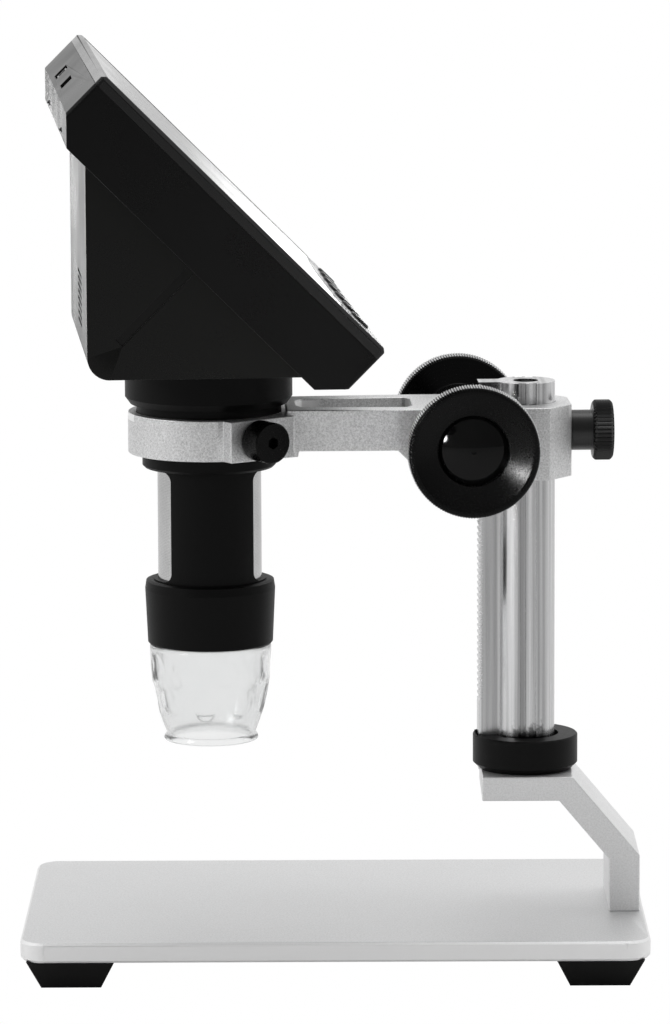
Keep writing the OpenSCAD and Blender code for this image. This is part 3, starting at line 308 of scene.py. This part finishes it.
def columnLook(name, settings, matrix):
    look = Look(name, {"Metallic": 1.0})
    spot = look.spotFrom(matrix)
    across = look.along(spot, matrix, (1, 0, 0)) * millimetres
    height = look.split(spot)[2] * millimetres
    lines = look.noise(settings["lines"], detail=3, stretch=settings["stretch"])
    dust = look.noise(settings["dust"])
    scratches = blend(settings["toneShares"], lines, dust)
    shade = look.between(scratches, *settings["toneRange"], settings["dark"], settings["light"])
    # Painted shade and painted reflections, strip by strip
    for middle, half, soft, tone in settings["paintedShadeStrips"]:
        shade = shade * look.between((across - middle).size(), half, half + soft, tone, 1)
    # Darker towards the collar, in the middle of the profile
    ragged = height + look.noise(settings["lowDarkeningNoise"], detail=3) * settings["lowDarkeningRagged"]
    lowDarkening = look.between(ragged, settings["lowDarkening"], settings["lowDarkening"] + settings["lowDarkeningSoft"], settings["lowDarkeningTone"], 1)
    fade = look.between((across - settings["lowDarkeningMiddle"]).size(), *settings["fadeRange"])
    shade = shade * lowDarkening.most(fade)
    look.colour(look.mix(shade, grey(0), grey(1, settings["tint"])))
    look.wear(lines, settings)
    look.bump(blend(settings["bumpShares"], lines, dust), settings)
    return look.material


# Turned metal or plastic: rings round an axis, with their pitch in metres
turnedDefaults = {
    "metal": 0.0, "shine": 0.5, "dust": 1800, "patches": 60, "toneShares": (0.12, 0.5, 0.4),
    "toneRange": (0.2, 0.75), "wearShares": (1, 0.4), "wear": (0.4, 0.95, -0.04, 0.08),
    "bumpShares": (0.5, 0.35), "strength": 0.8}


def turnedLook(name, changes, matrix):
    settings = {**turnedDefaults, **changes}
    look = Look(name, {"Metallic": settings["metal"], "Specular IOR Level": settings["shine"]})
    spot = look.spotFrom(matrix)
    away, along = look.awayFrom(spot, matrix), look.along(spot, matrix, (0, 0, 1))
    cut = ((away + along) * (math.tau / settings["pitch"])).sine()
    dust = look.noise(settings["dust"], detail=3)
    wide = look.noise(settings["patches"])
    tone = look.between(blend(settings["toneShares"], cut, dust, wide), *settings["toneRange"])
    look.colour(look.mix(tone, grey(settings["dark"]), grey(settings["light"])))
    look.wear(blend(settings["wearShares"], dust, wide), settings)
    look.bump(blend(settings["bumpShares"], cut, dust), settings)
    return look.material


# Moulded plastic or paint: a fine grain, slightly uneven in tone
mouldedDefaults = {
    "shine": 0.5, "grit": 0.6, "patches": 22, "toneShares": (0.45, 0.55), "toneRange": (0.3, 0.7),
    "wearShares": (0.3, 1), "wear": (0.45, 0.85, -0.04, 0.06), "deep": 0.00002, "strength": 0.7}


def mouldedLook(name, changes):
    settings = {**mouldedDefaults, **changes}
    look = Look(name, {"Metallic": 0.0, "Specular IOR Level": settings["shine"]})
    grain = look.noise(settings["grain"], detail=3, rough=settings["grit"])
    wide = look.noise(settings["patches"])
    tone = look.between(blend(settings["toneShares"], grain, wide), *settings["toneRange"])
    look.colour(look.mix(tone, settings["dark"], settings["light"]))
    look.wear(blend(settings["wearShares"], grain, wide), settings)
    look.bump(grain, settings)
    return look.material


# Clear plastic or glass, with a faint haze and slow waves
clearDefaults = {"haze": 160, "wear": (0.3, 0.7, 0, 0.04), "waves": 90, "strength": 0.4}


def clearLook(name, changes):
    settings = {**clearDefaults, **changes}
    look = Look(name, {"Metallic": 0.0, "IOR": settings["ior"], "Transmission Weight": 1.0})
    haze = look.noise(settings["haze"], detail=3)
    look.colour(look.mix(haze, settings["dark"], settings["light"]))
    look.wear(haze, settings)
    look.bump(look.noise(settings["waves"], detail=1), settings)
    return look.material


# Bearing bronze, with stains
bronzeSettings = {"stains": 500, "dark": (0.42, 0.26, 0.09, 1), "light": (0.62, 0.42, 0.18, 1),
                  "dullness": 300, "rough": 0.3, "wear": (0.3, 0.7, 0, 0.15)}


def bronzeLook(name, settings):
    look = Look(name, {"Metallic": 1.0})
    look.colour(look.mix(look.noise(settings["stains"], detail=3), settings["dark"], settings["light"]))
    look.wear(look.noise(settings["dullness"]), settings)
    return look.material


# Aluminium and other metals
# The arm: its pocket walls painted lighter, partly their machined finish and partly painted light
blasted = blastedLook("blasted_aluminium", {
    "speck": 1800, "dark": 0.50, "light": 0.90, "rough": 0.42, "deep": 0.00007,
    "pocket": {"half": 9.6, "low": 175.8, "high": 179.5, "soft": 0.2, "wall": 0.97}})
anodised = blastedLook("anodised_plate", {"speck": 1700, "dark": 0.78, "light": 0.92})
# The plate: a copy of the anodised finish, its top painted darker as painted shade and its sides painted
# lighter as painted light, partly a machined edge
plateLitAndShaded = blastedLook("plate_painted_light_and_shade", {"speck": 1700, "dark": 0.68, "light": 0.80, "side": 0.98})
columnMetal = columnLook("column_metal", columnSettings, columnFrame)
bright = turnedLook("bright_barrel", {
    "metal": 1.0, "pitch": 0.0005, "dark": 0.40, "light": 0.74, "rough": 0.14, "deep": 0.000004}, tubeFrame)
steel = drawnLook("steel", {"lines": 900, "stretch": (1, 1, 0.3), "dark": 0.40, "light": 0.62, "rough": 0.3})
bareEdge = drawnLook("bare_ridge", {
    "lines": 700, "stretch": (1, 1, 1), "dark": 0.35, "light": 0.75, "rough": 0.34})
bronze = bronzeLook("bronze", bronzeSettings)

# Turned black parts, each round its own axis
sleeveBlack = turnedLook("black_tube", {
    "pitch": 0.0006, "dark": 0.0015, "light": 0.003, "rough": 0.42, "shine": 0.11,
    "deep": 0.000006}, tubeFrame)
knobBlack = turnedLook("black_knob", {
    "pitch": 0.0008, "dark": 0.001, "light": 0.002, "rough": 0.24, "shine": 0.11, "deep": 0.000008},
    axleFrame @ turned(90, "X"))
lockBlack = turnedLook("black_lock", {
    "pitch": 0.0008, "dark": 0.001, "light": 0.006, "rough": 0.3, "deep": 0.00002}, lockFrame)
collarBlack = turnedLook("black_collar", {
    "pitch": 0.0007, "dark": 0.002, "light": 0.004, "rough": 0.4, "shine": 0.12,
    "deep": 0.000008}, columnFrame)

# Black plastics and rubber
shellBlack = mouldedLook("shell_plastic", {
    "grain": 2600, "dark": grey(0.0012), "light": grey(0.0025), "rough": 0.28, "shine": 0.15,
    "deep": 0.000012})
housingBlack = mouldedLook("housing_plastic", {
    "grain": 2200, "dark": (0.0025, 0.0026, 0.0023, 1), "light": (0.005, 0.0052, 0.0044, 1), "rough": 0.30,
    "shine": 0.2, "deep": 0.000012})
bezelBlack = mouldedLook("bezel_plastic", {
    "grain": 3000, "dark": grey(0.004), "light": grey(0.007), "rough": 0.16, "shine": 0.3, "deep": 0.000003})
rubber = mouldedLook("foot_rubber", {
    "grain": 1500, "dark": grey(0.002), "light": grey(0.005), "rough": 0.6, "shine": 0.2, "deep": 0.00003})
capBlack = mouldedLook("knob_cap_gloss", {
    "grain": 700, "dark": grey(0.001), "light": grey(0.003), "rough": 0.08, "shine": 0.14, "deep": 0.000002})

# Boards, pads and the parts inside
board = mouldedLook("circuit_board", {
    "grain": 900, "dark": (0.01, 0.06, 0.02, 1), "light": (0.02, 0.12, 0.05, 1), "rough": 0.4})
lampBoard = mouldedLook("lamp_board", {
    "grain": 900, "dark": (0.62, 0.62, 0.58, 1), "light": (0.8, 0.8, 0.77, 1), "rough": 0.5})
nylon = mouldedLook("nylon", {
    "grain": 900, "dark": (0.62, 0.6, 0.54, 1), "light": (0.75, 0.73, 0.68, 1), "rough": 0.5})
displayMetal = mouldedLook("display_module", {
    "grain": 600, "dark": (0.05, 0.055, 0.06, 1), "light": (0.09, 0.095, 0.1, 1), "rough": 0.4})
cellWrap = mouldedLook("battery_wrap", {
    "grain": 400, "dark": (0.02, 0.06, 0.14, 1), "light": (0.04, 0.1, 0.2, 1), "rough": 0.35})
ribbonFilm = mouldedLook("ribbon_film", {
    "grain": 500, "dark": (0.34, 0.15, 0.03, 1), "light": (0.45, 0.22, 0.06, 1), "rough": 0.35,
    "deep": 0.00001})

# Glass and clear plastic
clearPlastic = clearLook("clear_hood", {
    "ior": 1.46, "dark": (0.86, 0.87, 0.87, 1), "light": grey(0.90), "rough": 0.12, "deep": 0.00004})
lensGlass = clearLook("lens_glass", {
    "ior": 1.5, "dark": (0.9, 0.94, 0.96, 1), "light": (0.96, 0.98, 0.99, 1), "rough": 0.0, "deep": 0.000001})
lampGlass = mouldedLook("lamp_lens", {
    "grain": 300, "dark": (0.85, 0.82, 0.70, 1), "light": (0.95, 0.93, 0.85, 1), "rough": 0.15,
    "deep": 0.00001})
windowGlass = mouldedLook("window_glass", {
    "grain": 200, "dark": (0.003, 0.003, 0.004, 1), "light": (0.006, 0.006, 0.007, 1), "rough": 0.04,
    "shine": 0.25, "deep": 0.0000003})

# Each finish, with the CAD nodes that have it
finishTable = (
    (plateLitAndShaded, ["base_plate"]),
    (anodised, ["riser_bracket"]),
    (blasted, ["carriage_arm"]),
    (columnMetal, ["column"]),
    (bright, ["barrel"]),
    (bronze, ["axle_bushes", "lock_pad"]),
    (steel, ["foot_screws", "riser_screws", "column_bolt", "pinion_axle", "knob_grub_screws", "lock_stud",
             "neck_screws", "housing_screws", "case_screws", "board_screws", "usb_port", "card_socket"]),
    (collarBlack, ["column_collar"]),
    (knobBlack, ["near_focus_knob", "far_focus_knob", "clamp_screw"]),
    (lockBlack, ["lock_knob"]),
    (capBlack, ["knob_caps"]),
    (sleeveBlack, ["neck_tube", "lens_cell", "focus_sleeve"]),
    (housingBlack, ["rear_housing"]),
    (shellBlack, ["back_shell", "speaker"]),
    (bezelBlack, ["front_bezel", "power_button", "menu_button", "up_button", "ok_button", "down_button",
                  "mode_button", "shutter_button"]),
    (rubber, ["rubber_feet"]),
    (nylon, ["clamp_pad"]),
    (board, ["sensor_board", "key_board", "main_board"]),
    (lampBoard, ["led_board"]),
    (displayMetal, ["display_module"]),
    (ribbonFilm, ["display_ribbon"]),
    (cellWrap, ["battery_pack"]),
    (windowGlass, ["front_window"]),
    (lampGlass, ["leds"]),
    (lensGlass, ["lenses"]),
    (clearPlastic, ["clear_hood"]))
finishes = {nodeName: material for material, names in finishTable for nodeName in names}

for nodeName, material in finishes.items():
    thing = nodes[nodeName]
    for slot in thing.material_slots:
        slot.material = material
    if not thing.material_slots:
        thing.data.materials.append(material)
print("materials made")


# Adds a mesh to a body. Edges that bend by more degrees than sharp stay crisp, and with smooth off
# the faces stay flat or curved as the mesh has them
def newPiece(name, mesh, body, materials, sharp, smooth=True):
    thing = bpy.data.objects.new(name, mesh)
    bpy.context.scene.collection.objects.link(thing)
    for material in materials:
        mesh.materials.append(material)
    curved = [smooth or face.use_smooth for face in mesh.polygons]
    mesh.shade_smooth()
    mesh.set_sharp_from_angle(angle=math.radians(sharp))
    mesh.polygons.foreach_set("use_smooth", curved)
    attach(thing, body)
    return thing


# Corners of an outline of (radius, height) points, in millimetres: a corner takes at most the share of
# each side, and the smallest and the nearly straight ones stay as they are
cornerSettings = {"steps": 3, "share": 0.45, "smallest": 0.01, "straight": 0.05}


def soften(points, reach, settings=cornerSettings):
    out = []
    steps, share = settings["steps"], settings["share"]
    for i, point in enumerate(points):
        here = Vector(point)
        before = Vector(points[i - 1]) - here
        after = Vector(points[(i + 1) % len(points)]) - here
        size = min(reach, before.length * share, after.length * share)
        before.normalize()
        after.normalize()
        straight = abs(before.cross(after)) < settings["straight"]
        if here.x < onAxis or size < settings["smallest"] or straight:
            out.append(tuple(here))
            continue
        start, end = here + before * size, here + after * size
        for step in range(steps + 1):
            t = step / steps
            spot = start * (1 - t) ** 2 + here * 2 * t * (1 - t) + end * t * t
            out.append(tuple(spot))
    return out


# Turns an outline round the z axis of a frame. shape(angle, radius, height) moves a point, and
# pick(step, first, second) chooses a face's material
def lathe(outline, matrix, steps, shape, pick=None):
    mesh = bmesh.new()
    rings = []
    for step in range(steps):
        angle = math.tau * step / steps
        ring = []
        for point in outline:
            radius, height = shape(angle, *point)
            spot = Vector((radius * math.cos(angle), radius * math.sin(angle), height)) / millimetres
            ring.append(mesh.verts.new(matrix @ spot))
        rings.append(ring)
    count = len(outline)
    for step in range(steps):
        first, second = rings[step], rings[(step + 1) % steps]
        for i in range(count):
            j = (i + 1) % count
            if outline[i][0] < onAxis and outline[j][0] < onAxis:
                continue
            face = mesh.faces.new((first[i], second[i], second[j], first[j]))
            if pick:
                face.material_index = pick(step, outline[i], outline[j])
    bmesh.ops.remove_doubles(mesh, verts=mesh.verts, dist=sameSpot)
    bmesh.ops.recalc_face_normals(mesh, faces=mesh.faces)
    data = bpy.data.meshes.new("turned")
    mesh.to_mesh(data)
    mesh.free()
    return data


# Teeth round a rim, in millimetres: they reach in by the band and lie between two heights
def knurl(settings):
    teeth, deep, slack = settings["teeth"], settings["deep"], settings["slack"]
    inmost = settings["rim"] - settings["band"]
    low, high = settings["knurled"]

    def shape(angle, r, z):
        if r < inmost or not low - slack <= z <= high + slack:
            return r, z
        part = (angle * teeth / math.tau) % 1
        return r - deep * abs(2 * part - 1), z
    return shape


# Focus knobs, in millimetres out from the middle of the axle: a hub, a cone and a dished rim. The rim is
# knurled, and bare metal shows on some steps of each tooth
knobSettings = {
    "bore": 3, "hub": 12, "inner": 18.3, "cone": 32, "rim": 21, "low": 35, "high": 43, "chamfer": 0.8,
    "lip": 18.8, "dish": (11.2, 38.4), "capSeat": (11, 36), "soft": 0.35, "sharp": 50,
    "teeth": 150, "deep": 0.34, "band": 0.95, "knurled": (35, 43), "slack": 0.01,
    "toothSteps": 4, "bareSteps": (1, 2), "bareBand": 0.5}


def makeKnob(name, node, side, settings):
    bore, hub, inner, rim = settings["bore"], settings["hub"], settings["inner"], settings["rim"]
    low, high, chamfer = settings["low"], settings["high"], settings["chamfer"]
    seat, floor = settings["capSeat"]
    outline = soften([
        (bore, inner), (hub, inner), (hub, settings["cone"]), (rim - chamfer, low), (rim, low + chamfer),
        (rim, high - chamfer), (rim - chamfer, high), (settings["lip"], high), settings["dish"],
        (seat, floor), (bore, floor)], settings["soft"])
    toothSteps = settings["toothSteps"]

    def pick(step, first, second):
        onRim = min(first[0], second[0]) > rim - settings["bareBand"] and max(first[1], second[1]) > low
        return 1 if onRim and step % toothSteps in settings["bareSteps"] else 0
    matrix = axleFrame @ turned(90 * side, "X")
    mesh = lathe(outline, matrix, settings["teeth"] * toothSteps, knurl(settings), pick)
    knob = newPiece(name, mesh, "pinion", [finishes[node], bareEdge], settings["sharp"])
    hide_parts(node)


makeKnob("nearKnob", "near_focus_knob", 1, knobSettings)
makeKnob("farKnob", "far_focus_knob", -1, knobSettings)
print("knobs made")


# Lock knob, in millimetres along the lock screw: a smooth neck and a ribbed grip
lockSettings = {
    "bore": 3, "neck": 6.5, "rim": 9.75, "low": 7, "high": 13.5, "chamfer": 0.9, "boreEnd": 10.25,
    "soft": 0.3, "sharp": 40, "teeth": 44, "deep": 0.5, "band": 0.95, "knurled": (7.2, 13.4), "slack": 0.01,
    "toothSteps": 6}


def makeLockKnob(settings):
    bore, neck, rim, boreEnd = settings["bore"], settings["neck"], settings["rim"], settings["boreEnd"]
    low, high, chamfer = settings["low"], settings["high"], settings["chamfer"]
    outline = soften([
        (bore, 0), (neck, 0), (neck, low), (rim - chamfer, low), (rim, low + chamfer), (rim, high - chamfer),
        (rim - chamfer, high), (0, high), (0, boreEnd), (bore, boreEnd)], settings["soft"])
    mesh = lathe(outline, lockFrame, settings["teeth"] * settings["toothSteps"], knurl(settings))
    knob = newPiece("lockKnob", mesh, "lock_screw", [finishes["lock_knob"]], settings["sharp"])
    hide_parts("lock_knob")


makeLockKnob(lockSettings)
print("lock knob made")


# Clear hood, in millimetres over the ground: a bell that narrows towards its mouth, a plug that sits in
# the sleeve, and two rows of shallow ovals that scatter the lamps' light
hoodSettings = {
    "top": 102.7, "tall": 29.5, "wide": 19.6, "narrows": 5.3, "curve": 2.4, "levels": 44,
    "wall": (1.4, 0.7), "plug": (17.3, 18.62), "plugTop": 107.7, "shoulder": 102.4,
    "lip": ((15.0, 72.1), (15.2, 71.6), (15.2, 71.3), (15.0, 71.0), (13.0, 71.0), (12.9, 71.4)),
    "dimples": 9, "rows": ((95.4, 0.0), (85.0, 0.5)), "dimpleWide": 4.4, "dimpleTall": 4.9, "deep": 0.55,
    "dimpled": (74, 101.5), "inmost": 14, "skin": 0.8, "steps": 180, "sharp": 40}


def makeHood(settings):
    top, tall, wide = settings["top"], settings["tall"], settings["wide"]
    count, levels = settings["dimples"], settings["levels"]

    # The bell's outer radius at a height
    def bell(z):
        part = min(1, max(0, (top - z) / tall))
        return wide - settings["narrows"] * part ** settings["curve"]

    heights = [top - tall * level / levels for level in range(1, levels + 1)]
    outer = [(bell(z), z) for z in heights]
    thick, drop = settings["wall"]
    inner = [(r - thick, z - drop) for r, z in reversed(outer)]
    bore, plug = settings["plug"]
    plugTop, shoulder = settings["plugTop"], settings["shoulder"]
    outline = ([(plug, plugTop), (plug, shoulder), (wide, shoulder)] + outer + list(settings["lip"])
               + inner + [(bore, top), (bore, plugTop)])
    lowest, highest = settings["dimpled"]

    # Only the bell's outer skin is pushed in, where it lies in one of the ovals
    def shape(angle, r, z):
        if r < settings["inmost"] or z > highest or z < lowest or r < bell(z) - settings["skin"]:
            return r, z
        best = 0
        for level, shift in settings["rows"]:
            place = angle * count / math.tau + shift
            across = (place - round(place)) * math.tau / count * r / settings["dimpleWide"]
            along = (z - level) / settings["dimpleTall"]
            best = max(best, 1 - across * across - along * along)
        return r - settings["deep"] * math.sqrt(best), z
    mesh = lathe(outline, tubeFrame, settings["steps"], shape)
    hood = newPiece("hood", mesh, "hood", [finishes["clear_hood"]], settings["sharp"])
    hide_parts("clear_hood")


makeHood(hoodSettings)
print("hood made")


# Large pieces with softened edges. Widths are in millimetres, angle and sharp in degrees, bend in
# radians, together in metres and smallFace in square metres. An edge is rounded where it bends by more
# than the angle and is more than so many widths long
edgeDefaults = {
    "angle": 34, "longer": 3, "clamp": False, "segments": 3, "profile": 0.5, "together": 0.000002,
    "sharp": 40, "bend": (0.01, 0.6), "strip": 1.2, "smallFace": 0.00001}
edgeSettings = {
    "base_plate": {"body": "stand", "width": 0.25, "slot": "anodised", "angle": 25},
    "riser_bracket": {"body": "stand", "width": 0.4, "slot": "anodised"},
    "carriage_arm": {"body": "carriage", "width": 0.35, "slot": "machined"},
    "rear_housing": {"body": "head", "width": 0.7, "longer": 10, "clamp": True, "slot": "black_plastic"},
    "back_shell": {"body": "head", "width": 0.7, "clamp": True, "slot": "black_plastic"},
    "front_bezel": {"body": "head", "width": 0.35, "slot": "bezel"},
    "column_collar": {"body": "stand", "width": 0.4, "slot": "black_metal"}}


# Faces that bend gently into a neighbour, and are narrow or small, are curved. The others are flat
def shadeCurves(mesh, width, settings):
    low, high = settings["bend"]
    for face in mesh.faces:
        area = face.calc_area()
        longest = max(edge.calc_length() for edge in face.edges)
        bends = any(low < edge.calc_face_angle(0) < high for edge in face.edges)
        narrow = area < settings["strip"] * width * longest
        face.smooth = bends and (narrow or area < settings["smallFace"])


# A copy of a CAD node with its long sharp edges rounded
def rounded(nodeName, settings):
    mesh = bmesh.new()
    mesh.from_mesh(nodes[nodeName].data)
    bmesh.ops.transform(mesh, matrix=nodes[nodeName].matrix_world, verts=mesh.verts)
    bmesh.ops.remove_doubles(mesh, verts=mesh.verts, dist=settings["together"])
    width = settings["width"] / millimetres
    chosen = [edge for edge in mesh.edges if len(edge.link_faces) == 2
              and edge.calc_face_angle() > math.radians(settings["angle"])
              and edge.calc_length() > settings["longer"] * width]
    bmesh.ops.bevel(mesh, geom=chosen, offset=width, offset_type="OFFSET", segments=settings["segments"],
                    profile=settings["profile"], affect="EDGES", clamp_overlap=settings["clamp"])
    shadeCurves(mesh, width, settings)
    data = bpy.data.meshes.new(nodeName + "_soft")
    mesh.to_mesh(data)
    mesh.free()
    if "custom_normal" in data.attributes:
        data.attributes.remove(data.attributes["custom_normal"])
    return data


def softenNodes(table):
    for nodeName, changes in table.items():
        settings = {**edgeDefaults, **changes}
        piece = newPiece(nodeName + "_soft", rounded(nodeName, settings), settings["body"],
                         [finishes[nodeName]], settings["sharp"], smooth=False)
        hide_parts(nodeName)


softenNodes(edgeSettings)
print("edges softened")


# Floor of white paper, in metres; it is plain white where it is looked at
floorSettings = {"half": 6, "patches": 3, "dark": 0.82, "light": 0.86, "rough": 0.8}


def makeFloor(settings):
    half = settings["half"]
    mesh = bpy.data.meshes.new("floor")
    corners = [(-half, -half, 0), (half, -half, 0), (half, half, 0), (-half, half, 0)]
    mesh.from_pydata(corners, [], [(0, 1, 2, 3)])
    floor = bpy.data.objects.new("floor", mesh)
    bpy.context.scene.collection.objects.link(floor)
    look = Look("floor_paper", {"Roughness": settings["rough"]})
    look.colour(look.mix(look.noise(settings["patches"]), grey(settings["dark"]), grey(settings["light"])))
    paper = Wire(look.tree, look.shader.outputs[0])
    white = look.add("ShaderNodeEmission", None, {"Color": grey(1), "Strength": 1})
    both = look.add("ShaderNodeMixShader", None, {0: look.seen(), 1: paper, 2: white})
    plug(look.tree, look.tree.nodes["Material Output"].inputs["Surface"], both)
    mesh.materials.append(look.material)


# Studio: dim in front, bright behind, a little brighter above, and plain white where it is looked at.
# The ranges are of the direction's y and z
worldSettings = {"backRange": (-0.6, 0.1), "low": 0.27, "high": 0.86, "topRange": (0.35, 0.9), "above": 0.1}


def makeWorld(settings):
    world = bpy.data.worlds.new("studio")
    world.use_nodes = True
    bpy.context.scene.world = world
    shading = Shading(world.node_tree)
    for node in list(world.node_tree.nodes):
        world.node_tree.nodes.remove(node)
    way = shading.split(shading.add("ShaderNodeTexCoord", out="Generated"))
    behind = shading.between(way[1], *settings["backRange"], settings["low"], settings["high"])
    above = shading.between(way[2], *settings["topRange"], 0, settings["above"])
    soft = shading.add("ShaderNodeBackground", None, {"Color": grey(1), "Strength": behind + above})
    white = shading.add("ShaderNodeBackground", None, {"Color": grey(1), "Strength": 1})
    both = shading.add("ShaderNodeMixShader", None, {0: shading.seen(), 1: soft, 2: white})
    shading.add("ShaderNodeOutputWorld", None, {"Surface": both})


# Lamps: places and sizes in metres, power in watts, spread in degrees
lampSettings = {
    "top": {"place": (0.1, 0.25, 1.5), "target": (0, 0, 0.1), "size": (0.9, 0.6), "power": 3.7},
    "back": {"place": (0, 2.9, 1.5), "target": (0, 2.8, 0), "size": (2.6, 1.8), "power": 23, "spread": 70},
    "left": {"place": (-1.28, -0.76, 0.96), "target": (0, 0, 0.17), "size": (0.5, 0.6), "power": 6},
    "accent": {"place": (-0.32, -0.37, 0.3), "target": (0.075, -0.036, 0.185), "size": (0.06, 0.13),
               "power": 0.045, "spread": 14}}


def makeLamp(name, place, target, size, power, spread=180):
    data = bpy.data.lights.new(name, "AREA")
    data.shape = "RECTANGLE"
    data.size, data.size_y = size
    data.energy = power
    data.spread = math.radians(spread)
    lamp = bpy.data.objects.new(name, data)
    lamp.location = place
    lamp.rotation_euler = (Vector(target) - Vector(place)).to_track_quat("-Z", "Y").to_euler()
    bpy.context.scene.collection.objects.link(lamp)


makeFloor(floorSettings)
makeWorld(worldSettings)
for lampName, settings in lampSettings.items():
    makeLamp(lampName, **settings)
print("stage made")
